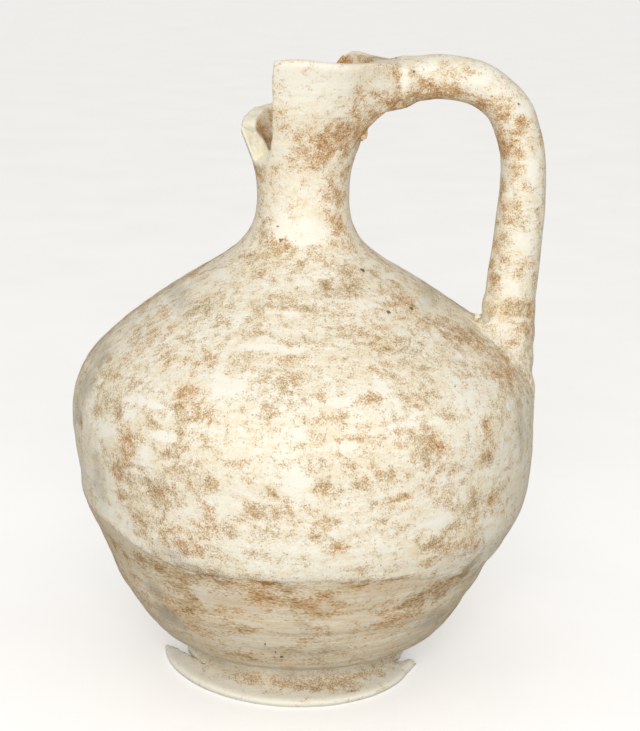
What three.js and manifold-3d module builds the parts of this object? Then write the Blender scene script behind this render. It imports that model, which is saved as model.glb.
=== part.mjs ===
// Wine jug of slipped earthenware: a wheel-thrown body on a flaring foot, a narrow neck,
// a flared mouth whose spout side is broken away, and one thick handle.
// Millimetres, +Z up, handle towards +X. It stands on z = 0, on the middle of its own footprint.

import * as THREE from 'three';
import { mergeVertices } from 'three/addons/utils/BufferGeometryUtils.js';
import Module from 'manifold-3d';

const wasm = await Module();
wasm.setup();

// Heights of the pieces as they stack up from the table
const footHeight = 12;
const baseHeight = 52;
const bellyHeight = 57;
const shoulderHeight = 44;
const neckHeight = 33;
const mouthHeight = 39;

// Outer radii where the pieces meet, and at the widest and narrowest places
const footJointRadius = 42;
const ridgeRadius = 84.3;
const bellyRadius = 89.7;
const shoulderLineRadius = 84.4;
const neckRootRadius = 26.5;
const neckRadius = 17.6;
const mouthJointRadius = 19.5;
const rimRadius = 34;

// How far the wall leans out (+) or in (-) from upright at each joint, in degrees
const footJointLean = 83;
const ridgeLean = 25;
const shoulderLineLean = -33;
const neckRootLean = -54;
const mouthLean = 20.5;

// Widest place above the lower joint of the belly, narrowest place above the root of the neck
const bellyPeakHeight = 32;
const neckWaistHeight = 20;

// Clay thicknesses
const wallThickness = 5.5;
const floorThickness = 7;
const lipRounding = 1.8;

// Foot ring
const footRadius = 52;
const footTopRadius = 39.5;
const footBoreRadius = 31.5;
const footEdgeThickness = 2.4;
const standingWidth = 3.4;
const footShift = 2.7;
const footHollowShare = 0.75;

// Handle
const handleCrown = 1.7;
const handleOverhang = 1.5;
const handleTopThickness = 16.8;
const handleRootThickness = 19.8;
const handleWidth = 20;
const handleLevelEnd = 50;
const handleBendDrop = 38;
const handleBendEase = 0.42;
const handleDropEase = 0.4;
const handleRootInset = 5.2;
const handleRootRise = 17;

// Clay pressed on at the two ends of the handle
const wadReach = 9;
const wadDepth = 15;
const wadWidth = 13;
const padHalfLength = 15;
const padHalfWidth = 13;
const padHalfDepth = 5.5;
const padLean = -40;
const padInset = 1.8;

// Broken side of the mouth: the upright break beside the spout, the stump that is left behind it,
// and the slanting break at the far side
const breakOffset = 11.3;
const stumpFaceOffset = 7.2;
const stumpHeight = 17;
const farBreakStart = 13;
const farBreakFoot = 12;
const farBreakTop = 17;
const farBreakDrop = 4.6;
const notchShare = 0.8;

// Clearance between clay pieces that are cut to each other
const lutingGap = 0.3;

// Fineness of the curved faces
const turnSteps = 48;
const wallSteps = 6;
const handleSteps = 30;
const handleSides = 16;
const curveReach = 0.36;

const slipColour = 0xe9dcc0;
const stainColour = 0xc9a882;

// Stations of the outer wall, from the foot up
function station(radius, height, lean) {
  return { radius, height, lean: THREE.MathUtils.degToRad(lean) };
}

const ridgeHeight = footHeight + baseHeight;
const shoulderLineHeight = ridgeHeight + bellyHeight;
const neckRootHeight = shoulderLineHeight + shoulderHeight;
const mouthJointHeight = neckRootHeight + neckHeight;
const rimHeight = mouthJointHeight + mouthHeight;

const footJoint = station(footJointRadius, footHeight, footJointLean);
const ridge = station(ridgeRadius, ridgeHeight, ridgeLean);
const bellyPeak = station(bellyRadius, ridgeHeight + bellyPeakHeight, 0);
const shoulderLine = station(shoulderLineRadius, shoulderLineHeight, shoulderLineLean);
const neckRoot = station(neckRootRadius, neckRootHeight, neckRootLean);
const neckWaist = station(neckRadius, neckRootHeight + neckWaistHeight, 0);
const mouthJoint = station(mouthJointRadius, mouthJointHeight, mouthLean);
const lip = station(rimRadius, rimHeight - lipRounding, mouthLean);

// Smooth stretch of the outer wall between two stations, as a curve of radius and height
function wallCurve(low, high) {
  const start = new THREE.Vector2(low.radius, low.height);
  const end = new THREE.Vector2(high.radius, high.height);
  const reach = curveReach * start.distanceTo(end);
  const startPull = new THREE.Vector2(Math.sin(low.lean), Math.cos(low.lean)).multiplyScalar(reach);
  const endPull = new THREE.Vector2(Math.sin(high.lean), Math.cos(high.lean)).multiplyScalar(reach);
  return new THREE.CubicBezierCurve(start, start.clone().add(startPull), end.clone().sub(endPull), end);
}

// Outer points of a piece that runs through the given stations
function outerWall(...stations) {
  const points = [new THREE.Vector2(stations[0].radius, stations[0].height)];
  for (let i = 1; i < stations.length; i += 1) {
    points.push(...wallCurve(stations[i - 1], stations[i]).getPoints(wallSteps).slice(1));
  }
  return points;
}

// Horizontal thickness of the wall at a station
function levelThickness(place) {
  return wallThickness / Math.cos(place.lean);
}

// Inner points of the same piece, from its top joint down to its bottom joint
function innerWall(...stations) {
  const first = stations[0];
  const last = stations[stations.length - 1];
  const points = [];
  for (let i = 1; i < stations.length; i += 1) {
    const curve = wallCurve(stations[i - 1], stations[i]);
    for (let k = 1; k <= wallSteps; k += 1) {
      const along = curve.getTangent(k / wallSteps);
      const inward = new THREE.Vector2(-along.y, along.x);
      points.push(curve.getPoint(k / wallSteps).addScaledVector(inward, wallThickness));
    }
  }
  const margin = wallThickness / 3;
  const between = points.filter((point) => point.y > first.height + margin && point.y < last.height - margin);
  const bottom = new THREE.Vector2(first.radius - levelThickness(first), first.height);
  const top = new THREE.Vector2(last.radius - levelThickness(last), last.height);
  return [bottom, ...between, top].reverse();
}

// Round corner between two points of an outline
function roundCorner(from, corner, to, steps) {
  return new THREE.QuadraticBezierCurve(from, corner, to).getPoints(steps);
}

// Outer radius of the whole wall at a height, found on its curves
const wallStations = [footJoint, ridge, bellyPeak, shoulderLine, neckRoot, neckWaist, mouthJoint, lip];

function wallRadiusAt(height) {
  const wall = outerWall(...wallStations);
  for (let i = 1; i < wall.length; i += 1) {
    if (wall[i].y >= height) {
      const share = (height - wall[i - 1].y) / (wall[i].y - wall[i - 1].y);
      return THREE.MathUtils.lerp(wall[i - 1].x, wall[i].x, share);
    }
  }
  return rimRadius;
}

// Height at which the shoulder has a given outer radius
function wallHeightAt(radius) {
  const cone = outerWall(shoulderLine, neckRoot);
  for (let i = 1; i < cone.length; i += 1) {
    if (cone[i].x <= radius) {
      const share = (cone[i - 1].x - radius) / (cone[i - 1].x - cone[i].x);
      return THREE.MathUtils.lerp(cone[i - 1].y, cone[i].y, share);
    }
  }
  return neckRootHeight;
}

// Turns any closed geometry into a solid that can be joined and cut
function toSolid(geometry) {
  const bare = geometry.clone();
  bare.deleteAttribute('normal');
  bare.deleteAttribute('uv');
  const merged = mergeVertices(bare, 1e-4);
  const corners = merged.index.array;
  const kept = [];
  for (let i = 0; i < corners.length; i += 3) {
    const [a, b, c] = [corners[i], corners[i + 1], corners[i + 2]];
    if (a !== b && b !== c && c !== a) {
      kept.push(a, b, c);
    }
  }
  const mesh = new wasm.Mesh({
    numProp: 3,
    vertProperties: new Float32Array(merged.attributes.position.array),
    triVerts: new Uint32Array(kept),
  });
  return new wasm.Manifold(mesh);
}

function toGeometry(solid) {
  const mesh = solid.getMesh();
  const geometry = new THREE.BufferGeometry();
  geometry.setAttribute('position', new THREE.BufferAttribute(mesh.vertProperties, 3));
  geometry.setIndex(new THREE.BufferAttribute(mesh.triVerts, 1));
  geometry.computeVertexNormals();
  return geometry;
}

// Turned clay: an outline of radius and height, revolved round the upright axis
function turned(outline) {
  const points = outline.map((point) => new THREE.Vector2(Math.max(point.x, 0), point.y));
  const geometry = new THREE.LatheGeometry([...points, points[0]], turnSteps);
  geometry.rotateX(Math.PI / 2);
  return toSolid(geometry);
}

// Prism from an outline that is seen from the front, between two depths along Y
function frontPrism(corners, nearY, farY) {
  const shape = new THREE.Shape(corners.map(([x, z]) => new THREE.Vector2(x, z)));
  const geometry = new THREE.ExtrudeGeometry(shape, { depth: farY - nearY, bevelEnabled: false });
  geometry.rotateX(Math.PI / 2);
  geometry.translate(0, farY, 0);
  return toSolid(geometry);
}

// The body up to the rim without its hollow, grown by the luting gap: what the handle is cut to
function bodyWithGap() {
  const outer = outerWall(...wallStations);
  const grown = outer.map((point) => new THREE.Vector2(point.x + 2 * lutingGap, point.y));
  const floorCorner = new THREE.Vector2(0, footHeight);
  const clearance = new THREE.Vector2(rimRadius + 2 * lutingGap, rimHeight + mouthHeight);
  return turned([floorCorner, ...grown, clearance, new THREE.Vector2(0, clearance.y)]);
}

// Handle: an oval bar swept along its axis, thicker towards the root
const handleAxisHeight = rimHeight + handleCrown - handleTopThickness / 2;
const handleRootHeight = shoulderLineHeight + handleRootRise;
const handleBendX = bellyRadius + handleOverhang - (handleTopThickness + handleRootThickness) / 4;
const handleRootX = shoulderLineRadius - handleRootInset;

function handleAxis() {
  const point = (x, z) => new THREE.Vector3(x, 0, z);
  const start = point(neckRadius, handleAxisHeight);
  const levelEnd = point(handleLevelEnd, handleAxisHeight);
  const bendEnd = point(handleBendX, handleAxisHeight - handleBendDrop);
  const root = point(handleRootX, handleRootHeight);
  const tip = point(handleRootX - handleRootInset / 2, shoulderLineHeight - handleRootInset);
  const levelPull = point((handleLevelEnd + 2 * handleBendX) / 3, handleAxisHeight);
  const bendPull = point(handleBendX, handleAxisHeight - handleBendDrop * handleBendEase);
  const dropPull = point(handleBendX, THREE.MathUtils.lerp(bendEnd.z, root.z, handleDropEase));
  const rootPull = point(handleRootX, THREE.MathUtils.lerp(root.z, bendEnd.z, handleDropEase));
  const path = new THREE.CurvePath();
  path.add(new THREE.LineCurve3(start, levelEnd));
  path.add(new THREE.CubicBezierCurve3(levelEnd, levelPull, bendPull, bendEnd));
  path.add(new THREE.CubicBezierCurve3(bendEnd, dropPull, rootPull, root));
  path.add(new THREE.LineCurve3(root, tip));
  return path;
}

function handleBar(extra) {
  const axis = handleAxis();
  const across = new THREE.Vector3(0, 1, 0);
  const positions = [];
  const faces = [];
  for (let ring = 0; ring <= handleSteps; ring += 1) {
    const share = ring / handleSteps;
    const centre = axis.getPointAt(share);
    const outward = across.clone().cross(axis.getTangentAt(share)).normalize();
    const halfThickness = THREE.MathUtils.lerp(handleTopThickness, handleRootThickness, share) / 2 + extra;
    const halfWidth = handleWidth / 2 + extra;
    for (let side = 0; side < handleSides; side += 1) {
      const turn = (2 * Math.PI * side) / handleSides;
      const place = centre.clone();
      place.addScaledVector(outward, halfThickness * Math.cos(turn));
      place.addScaledVector(across, halfWidth * Math.sin(turn));
      positions.push(place.x, place.y, place.z);
    }
  }
  const corner = (ring, side) => ring * handleSides + (side % handleSides);
  for (let ring = 0; ring < handleSteps; ring += 1) {
    for (let side = 0; side < handleSides; side += 1) {
      const [a, b] = [corner(ring, side), corner(ring, side + 1)];
      const [c, d] = [corner(ring + 1, side), corner(ring + 1, side + 1)];
      faces.push(a, b, d, a, d, c);
    }
  }
  for (let side = 1; side < handleSides - 1; side += 1) {
    faces.push(corner(0, 0), corner(0, side + 1), corner(0, side));
    faces.push(corner(handleSteps, 0), corner(handleSteps, side), corner(handleSteps, side + 1));
  }
  const geometry = new THREE.BufferGeometry();
  geometry.setAttribute('position', new THREE.Float32BufferAttribute(positions, 3));
  geometry.setIndex(faces);
  return toSolid(geometry);
}

function footRing() {
  const top = new THREE.Vector2(footTopRadius, footHeight);
  const edgeTop = new THREE.Vector2(footRadius - footEdgeThickness / 2, footEdgeThickness);
  const edge = new THREE.Vector2(footRadius, footEdgeThickness / 2);
  const edgeFoot = new THREE.Vector2(footRadius - footEdgeThickness / 4, 0);
  const standingInner = new THREE.Vector2(footRadius - standingWidth, 0);
  const hollowTop = new THREE.Vector2(footBoreRadius, footHeight * footHollowShare);
  const boreTop = new THREE.Vector2(footBoreRadius, footHeight);
  const flarePull = new THREE.Vector2(footTopRadius + footEdgeThickness, footHeight / 2);
  const hollowPull = new THREE.Vector2((footBoreRadius + footRadius) / 2, footEdgeThickness);
  return turned([
    ...roundCorner(standingInner, hollowPull, hollowTop, wallSteps).reverse(),
    edgeFoot,
    edge,
    ...roundCorner(top, flarePull, edgeTop, wallSteps).reverse(),
    boreTop,
  ]);
}

function baseBowl() {
  const outer = outerWall(footJoint, ridge);
  const floorHeight = footHeight + floorThickness;
  const inner = innerWall(footJoint, ridge).filter((point) => point.y > floorHeight + lipRounding);
  const floorEdge = new THREE.Vector2(inner[inner.length - 1].x - floorThickness, floorHeight);
  const axisFoot = new THREE.Vector2(0, footHeight);
  return turned([axisFoot, ...outer, ...inner, floorEdge, new THREE.Vector2(0, floorHeight)]);
}

// A ring of the body wall between its lower and upper joints
function wallRing(...stations) {
  return turned([...outerWall(...stations), ...innerWall(...stations)]);
}

function wholeMouth() {
  const outer = outerWall(mouthJoint, lip);
  const inner = innerWall(mouthJoint, lip);
  const outerCorner = new THREE.Vector2(rimRadius, rimHeight);
  const innerCorner = new THREE.Vector2(inner[0].x, rimHeight);
  const outerTop = new THREE.Vector2(rimRadius - lipRounding, rimHeight);
  const innerTop = new THREE.Vector2(inner[0].x + lipRounding, rimHeight);
  return turned([
    ...outer.slice(0, -1),
    ...roundCorner(outer[outer.length - 1], outerCorner, outerTop, 3),
    ...roundCorner(innerTop, innerCorner, inner[0], 3),
    ...inner.slice(1),
  ]);
}

// What has broken away: beside the near break down to the neck, and above the stump behind it
function brokenAway() {
  const far = 2 * rimRadius;
  const above = rimHeight + mouthHeight;
  const stumpTop = mouthJointHeight + stumpHeight;
  const besideSpout = [
    [-breakOffset, above],
    [-breakOffset, mouthJointHeight + stumpHeight / 3],
    [-mouthJointRadius * notchShare, mouthJointHeight - lutingGap],
    [-far, mouthJointHeight - lutingGap],
    [-far, above],
  ];
  const aboveStump = [
    [-far, stumpTop - lipRounding],
    [-farBreakStart, stumpTop + lipRounding],
    [farBreakFoot, rimHeight - farBreakDrop],
    [farBreakTop, rimHeight + lutingGap],
    [farBreakTop, above],
    [-far, above],
  ];
  const nearSide = frontPrism(besideSpout, -far, -stumpFaceOffset);
  const farSide = frontPrism(aboveStump, -stumpFaceOffset - lutingGap, far);
  return nearSide.add(farSide);
}

function topWad() {
  const underside = handleAxisHeight - handleTopThickness / 2;
  const wadFoot = underside - wadDepth;
  const wallFoot = wallRadiusAt(wadFoot);
  const tipX = wallRadiusAt(underside) + wadReach;
  const start = new THREE.Vector2(wallFoot - wallThickness / 2, wadFoot);
  const pull = new THREE.Vector2(wallFoot + wadReach / 2, underside - wadDepth / 3);
  const tip = new THREE.Vector2(tipX, underside - 1);
  const outline = roundCorner(start, pull, tip, wallSteps).map((point) => [point.x, point.y]);
  outline.push([tipX, underside + handleTopThickness / 4]);
  outline.push([start.x, underside + handleTopThickness / 4]);
  return frontPrism(outline, -wadWidth / 2, wadWidth / 2);
}

// Flattened collar of clay that leans with the shoulder round the root of the handle
function rootPad() {
  const geometry = new THREE.SphereGeometry(1, 24, 12);
  geometry.scale(padHalfDepth, padHalfWidth, padHalfLength);
  geometry.rotateY(THREE.MathUtils.degToRad(padLean));
  const seatRadius = handleRootX - padInset;
  geometry.translate(seatRadius, 0, wallHeightAt(seatRadius));
  return toSolid(geometry);
}

const body = bodyWithGap();
const handleWithGap = handleBar(lutingGap);

const pieces = [
  ['foot_ring', footRing().translate([-footShift, 0, 0]), slipColour],
  ['base_bowl', baseBowl(), stainColour],
  ['belly', wallRing(ridge, bellyPeak, shoulderLine), slipColour],
  ['shoulder', wallRing(shoulderLine, neckRoot), slipColour],
  ['neck', wallRing(neckRoot, neckWaist, mouthJoint), slipColour],
  ['mouth', wholeMouth().subtract(brokenAway()), slipColour],
  ['handle', handleBar(0).subtract(body), slipColour],
  ['handle_top_wad', topWad().subtract(body).subtract(handleWithGap), stainColour],
  ['handle_root_pad', rootPad().subtract(body).subtract(handleWithGap), stainColour],
];

// The upright axis stands a little to the left, so that the origin is the middle of the footprint
const group = new THREE.Group();
group.position.x = -handleOverhang / 2;

for (const [name, solid, colour] of pieces) {
  const material = new THREE.MeshStandardMaterial({ color: colour, roughness: 0.9, metalness: 0 });
  const mesh = new THREE.Mesh(toGeometry(solid), material);
  mesh.name = name;
  group.add(mesh);
}

export default group;
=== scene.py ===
# Wine jug of slipped earthenware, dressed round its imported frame.
# Clay is worked out in millimetres, with the body's upright axis at x = 0, and set down in metres.

import math

import bmesh
import bpy
import numpy as np
from mathutils import Matrix, Vector


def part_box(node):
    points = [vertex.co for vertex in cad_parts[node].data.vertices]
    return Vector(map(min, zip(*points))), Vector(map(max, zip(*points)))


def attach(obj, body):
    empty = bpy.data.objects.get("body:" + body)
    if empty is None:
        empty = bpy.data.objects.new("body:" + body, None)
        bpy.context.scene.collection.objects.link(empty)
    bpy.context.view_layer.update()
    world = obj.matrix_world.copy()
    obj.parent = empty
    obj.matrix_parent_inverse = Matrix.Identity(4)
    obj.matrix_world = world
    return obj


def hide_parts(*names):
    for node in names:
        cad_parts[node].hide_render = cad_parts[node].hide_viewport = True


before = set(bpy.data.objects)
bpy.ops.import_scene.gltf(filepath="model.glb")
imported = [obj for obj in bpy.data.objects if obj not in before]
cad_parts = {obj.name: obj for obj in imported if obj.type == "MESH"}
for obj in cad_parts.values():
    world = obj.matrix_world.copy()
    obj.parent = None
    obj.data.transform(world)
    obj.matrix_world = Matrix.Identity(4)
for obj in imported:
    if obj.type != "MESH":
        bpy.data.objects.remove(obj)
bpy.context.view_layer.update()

MM = 0.001


# The frame's own sizes

def node_box(node):
    low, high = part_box(node)
    return np.array(low) / MM, np.array(high) / MM


base_low, base_high = node_box("base_bowl")
belly_low, belly_high = node_box("belly")
shoulder_low, shoulder_high = node_box("shoulder")
neck_low, neck_high = node_box("neck")
mouth_low, mouth_high = node_box("mouth")
handle_low, handle_high = node_box("handle")

AXIS_X = (belly_low[0] + belly_high[0]) / 2
FOOT_JOINT = base_low[2]
RIDGE = belly_low[2]
SHOULDER_LINE = shoulder_low[2]
NECK_ROOT = neck_low[2]
MOUTH_JOINT = neck_high[2]
RIM = mouth_high[2]
MOUTH_RADIUS = (mouth_high[1] - mouth_low[1]) / 2

# Room left between the dressed wall and the frame: at the widest places, at the lip and below the rim
SKIN_ROOM = 0.45
LIP_ROOM = 0.3
LIP_DROP = 1.8

WALL = 5.5
FLOOR = 7.0
BELLY_PEAK = RIDGE + 32
NECK_WAIST = NECK_ROOT + 20

# Radius, height and lean in degrees of the outer wall, from the foot joint up
WALL_STATIONS = (
    (42.0, FOOT_JOINT, 83),
    ((base_high[0] - base_low[0]) / 2 - SKIN_ROOM, RIDGE, 25),
    ((belly_high[1] - belly_low[1]) / 2 - SKIN_ROOM, BELLY_PEAK, 0),
    ((shoulder_high[1] - shoulder_low[1]) / 2 - SKIN_ROOM, SHOULDER_LINE, -33),
    ((neck_high[1] - neck_low[1]) / 2, NECK_ROOT, -54),
    (17.6, NECK_WAIST, 0),
    (19.5, MOUTH_JOINT, 20.5),
    (MOUTH_RADIUS - LIP_ROOM, RIM - LIP_DROP, 20.5),
)

# How far a station's lean is felt along the wall, as a share of the way to the next one
CURVE_REACH = 0.36
CURVE_STEPS = 160

# How far the wall's curve runs on past the last station
LIP_SPARE = 10

# Where the thrown wall is slimmer than its plain curve: height, reach and depth
SLIM_PLACES = ((141, 8, 1.3), (39, 11, 0.9))

# Where the thrower's hand left it off that curve: height and how much fuller it is
FULLER = (
    (12, 0.2), (14, -0.2), (16, 0.1), (18, 0.35), (20, 0.1), (22, -0.25), (24, -0.5), (31, -0.6),
    (35, -0.3), (41, 0.3), (46, -0.4), (52, -0.5), (58, -0.1), (64, 0.4), (70, 0.5), (76, 0.1),
    (82, -0.35), (94, -0.3), (102, 0.1), (110, 0.35), (124, 0.35), (132, -0.4), (148, -0.4), (155, 0),
    (160, -0.5), (167, 0.1), (176, -0.25), (192, -0.35), (203, -0.85), (211, -0.6), (218, 0),
)

# The pot leans a little from side to side on its axis: height and shift towards the handle
DRIFT = (
    (0, -1.5), (14, -0.8), (20, -0.2), (26, -0.4), (32, -0.6), (40, -0.5), (46, -0.1), (52, 0.6), (64, 1.35),
    (70, 1.0), (84, 0.8), (92, 0.6), (100, 0.05), (118, 0.1), (126, -0.3), (134, -0.35), (142, -1.0),
    (160, -1.05), (168, -0.75), (174, -0.4), (186, -0.3), (198, -0.5), (206, -0.9), (240, -0.3),
)


# Smooth seeded noise: cells to a side of its lattice, and the shift of each seed's pattern in it

LATTICE = 24
SEED_SHIFT = 0.37


def noise(points, size, seed):
    """Smooth values from -1 to 1 that change over about one size, at points in millimetres."""
    lattice = np.random.default_rng(seed).uniform(-1.0, 1.0, LATTICE**3)
    spot = points / size + SEED_SHIFT * seed
    cell = np.floor(spot)
    part = spot - cell
    part = part * part * (3 - 2 * part)
    low = cell.astype(np.int64) % LATTICE
    high = (low + 1) % LATTICE
    total = np.zeros(len(points))
    for x, share_x in ((low[:, 0], 1 - part[:, 0]), (high[:, 0], part[:, 0])):
        for y, share_y in ((low[:, 1], 1 - part[:, 1]), (high[:, 1], part[:, 1])):
            row = (x * LATTICE + y) * LATTICE
            under = lattice[row + low[:, 2]]
            total += share_x * share_y * (under + part[:, 2] * (lattice[row + high[:, 2]] - under))
    return total


def layered_noise(points, layers):
    """Sum of noises, each given as weight, size and seed."""
    return sum(weight * noise(points, size, seed) for weight, size, seed in layers)


def smooth_step(value):
    value = np.clip(value, 0.0, 1.0)
    return value * value * (3 - 2 * value)


def soft_rise(value, start, end):
    """0 where a value is at the start, 1 where it is at the end, which may be the lower of the two."""
    return smooth_step((value - start) / (end - start))


def bell(distance):
    return np.exp(-distance * distance)


def smooth_max(a, b, ease):
    reach = np.maximum(ease - np.abs(a - b), 0) / ease
    return np.maximum(a, b) + reach * reach * ease / 4


def smooth_min(a, b, ease):
    return -smooth_max(-a, -b, ease)


# The thrown wall

FULL_TURN = 2 * math.pi
PATH_HEIGHTS = np.arange(-10.0, 260.0, 0.5)


def eased_path(path, reach):
    """Values at PATH_HEIGHTS from given pairs of height and value, with the corners rounded."""
    window = np.hanning(4 * reach + 1)
    padded = np.pad(np.interp(PATH_HEIGHTS, *zip(*path)), 2 * reach, mode="edge")
    return np.convolve(padded, window / window.sum(), mode="valid")


def lean_way(degrees):
    """Direction along a wall that leans outward by an angle, as outward and up."""
    angle = math.radians(degrees)
    return np.array([math.sin(angle), math.cos(angle)])


def wall_lines():
    """Radius, height, lean and length along the outer wall, at close steps."""
    share = np.linspace(0, 1, CURVE_STEPS + 1)[:, None]
    rest = 1 - share
    parts = []
    for low, high in zip(WALL_STATIONS, WALL_STATIONS[1:]):
        start, end = np.array(low[:2]), np.array(high[:2])
        reach = CURVE_REACH * np.linalg.norm(end - start)
        a = start + reach * lean_way(low[2])
        b = end - reach * lean_way(high[2])
        parts.append(rest**3 * start + 3 * rest**2 * share * a + 3 * rest * share**2 * b + share**3 * end)
    line = np.vstack([parts[0]] + [part[1:] for part in parts[1:]])
    line = np.vstack([line, line[-1] + LIP_SPARE * lean_way(WALL_STATIONS[-1][2])])
    for height, reach, depth in SLIM_PLACES:
        line[:, 0] -= depth * bell((line[:, 1] - height) / reach)
    line[:, 0] += np.interp(line[:, 1], PATH_HEIGHTS, eased_path(FULLER, 2))
    step = np.gradient(line, axis=0)
    lean = np.arctan2(step[:, 0], step[:, 1])
    along = np.concatenate([[0], np.cumsum(np.linalg.norm(np.diff(line, axis=0), axis=1))])
    return line[:, 0], line[:, 1], lean, along


OUT_RADIUS, OUT_HEIGHT, OUT_LEAN, OUT_ALONG = wall_lines()


def inner_lines():
    """Radius and height of the inner wall, one wall thickness in from the outer one."""
    radius = OUT_RADIUS - WALL * np.cos(OUT_LEAN)
    height = OUT_HEIGHT + WALL * np.sin(OUT_LEAN)
    order = np.argsort(height)
    return radius[order], height[order]


IN_RADIUS, IN_HEIGHT = inner_lines()
DRIFT_SHIFT = eased_path(DRIFT, 6)


def drift(height):
    return np.interp(height, PATH_HEIGHTS, DRIFT_SHIFT)


def outer_radius(height):
    return np.interp(height, OUT_HEIGHT, OUT_RADIUS)


def inner_radius(height):
    return np.interp(height, IN_HEIGHT, IN_RADIUS)


def lean_at(height):
    return np.interp(height, OUT_HEIGHT, OUT_LEAN)


def along_at(height):
    return np.interp(height, OUT_HEIGHT, OUT_ALONG)


def ring_places(azimuth, radius, height, shift=0):
    """Points at a distance and a height round an upright axis that stands at x = shift."""
    return np.stack([shift + radius * np.cos(azimuth), radius * np.sin(azimuth), height], axis=-1)


def round_axis(places, shift=None):
    """Azimuth and distance of places from the drifting axis, or from an upright one at x = shift."""
    x = places[..., 0] - (drift(places[..., 2]) if shift is None else shift)
    return np.arctan2(places[..., 1], x), np.hypot(x, places[..., 1])


def around_path(azimuth, path):
    """A height that changes round the pot, from given pairs of azimuth in degrees and height."""
    turns, heights = zip(*path)
    return np.interp(np.degrees(azimuth) % 360, turns, heights, period=360)


# Crest where the lower bowl was turned down, and lower marks of the turning tool: azimuth, height
CREST = (
    (0, 57), (40, 62), (90, 66), (140, 68), (180, 72), (205, 73.5), (217, 72.3), (231, 66.6), (241, 64.2),
    (253, 64.5), (275, 65.2), (295, 62.7), (307, 58.5), (318, 54.5), (335, 53.5),
)
TOOL_STEP = ((0, 37), (90, 39), (180, 38), (240, 38.5), (293, 37), (311, 36.8), (327, 35.8))
SHOULDER_SCRATCH = (
    (0, 122), (90, 121), (180, 120.5), (220, 119.8), (234, 121.8), (249, 124.4), (262, 122.6),
    (277, 120.4), (300, 121.8), (330, 122),
)

# Flat and hollow places left by the hand: azimuth, height, half width, half height, depth
HOLLOWS = (
    (190, 79, 26, 10, 0.9),
    (198, 108, 22, 14, 0.5),
    (203, 62, 18, 7, 0.5),
    (344, 74, 20, 14, 0.35),
    (352, 46, 20, 9, 0.4),
    (285, 150, 14, 9, 0.3),
    (120, 84, 24, 14, 0.5),
    (60, 110, 22, 12, 0.4),
    (95, 52, 18, 9, 0.4),
)

# Short scratches on the front: azimuth and height at both ends, depth
SCRATCHES = (
    (201, 84.5, 236, 87.5, 0.22),
    (283, 82, 305, 85, 0.16),
    (318, 137, 331, 130, 0.2),
    (262, 113, 291, 109, 0.12),
    (206, 62, 219, 47, 0.22),
)

# Unevenness of the thrown wall: weight, size and seed of each noise
WALL_SWELL = ((0.30, 46, 11), (0.11, 14, 12), (0.045, 4.5, 13))

# Rings left by the thrower's fingers, outside and inside: step up the wall and depth
RING_STEP, RING_DEPTH = 7.2, 0.07
FINGER_STEP, FINGER_DEPTH = 8.5, 0.3

# Grooves round the lower bowl: height and depth
BOWL_GROOVES = ((15.2, 0.18), (17.6, 0.24), (20.5, 0.2), (24.5, 0.1), (48.6, 0.14), (51.2, 0.1))

# The crest: how far the wall steps in under it, swells at it and dips above it
SHELF_DEPTH = 0.62
CREST_SWELL = 0.22
CREST_DIP = 0.12

# The turning tool: its groove, how far the wall steps in under that, and the side where it bit deepest
TOOL_GROOVE = 0.42
TOOL_SHELF = 0.3
TOOL_SIDE = 325

# The scratched line round the shoulder: its depth, and the height of the burr above it
SCRATCH_DEPTH = 0.2
SCRATCH_BURR = 0.12

# The thickest clay in the throat: its azimuth and how thick it is
LUMP_SIDE = 203
LUMP_DEPTH = 3.6


def turn_gap(azimuth, degrees):
    """Signed turn from a direction in degrees, in radians."""
    return (azimuth - math.radians(degrees) + math.pi) % FULL_TURN - math.pi


def relief(azimuth, height):
    """How far the thrown wall stands out from its plain curve."""
    radius = outer_radius(height)
    place = ring_places(azimuth, radius, height)
    turns = along_at(height) / RING_STEP + azimuth / FULL_TURN + 0.35 * noise(place, 38, 14)
    rings = RING_DEPTH * np.sin(FULL_TURN * turns) * (0.6 + 0.4 * noise(place, 55, 15))
    total = layered_noise(place, WALL_SWELL) + rings

    crest = height - around_path(azimuth, CREST)
    shelf = np.where(crest < 0, np.exp(np.minimum(crest, 0) / 11), 0) * smooth_step(-crest / 1.3)
    total -= SHELF_DEPTH * shelf
    total += CREST_SWELL * bell((crest - 1.6) / 1.7) - CREST_DIP * bell((crest - 9) / 6)

    tool = height - around_path(azimuth, TOOL_STEP)
    strength = 0.35 + 0.65 * smooth_step((np.cos(turn_gap(azimuth, TOOL_SIDE)) - 0.2) / 0.6)
    below = TOOL_SHELF * smooth_step(-tool / 1.5) * np.exp(np.minimum(tool, 0) / 9)
    total -= strength * (TOOL_GROOVE * bell(tool / 0.9) + below)
    for level, depth in BOWL_GROOVES:
        total -= depth * bell((height - level - 0.5 * np.sin(azimuth + level)) / 0.75)

    scratch = height - around_path(azimuth, SHOULDER_SCRATCH)
    total -= SCRATCH_DEPTH * bell(scratch / 0.7) - SCRATCH_BURR * bell((scratch - 1.6) / 1.1)

    for middle, level, half_width, half_height, depth in HOLLOWS:
        across = turn_gap(azimuth, middle) * radius / half_width
        total -= depth * bell(np.hypot(across, (height - level) / half_height))

    for start, start_height, end, end_height, depth in SCRATCHES:
        share = turn_gap(azimuth, start) / math.radians(end - start)
        level = start_height + (end_height - start_height) * share
        inside = smooth_step(share * 8) * smooth_step((1 - share) * 8)
        total -= depth * inside * (bell((height - level) / 0.8) - 0.6 * bell((height - level - 1.8) / 1.0))

    calm = smooth_step((height - FOOT_JOINT) / 3) * smooth_step((RIM - 0.5 - height) / 3 + 0.6)
    return total * calm


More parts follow.
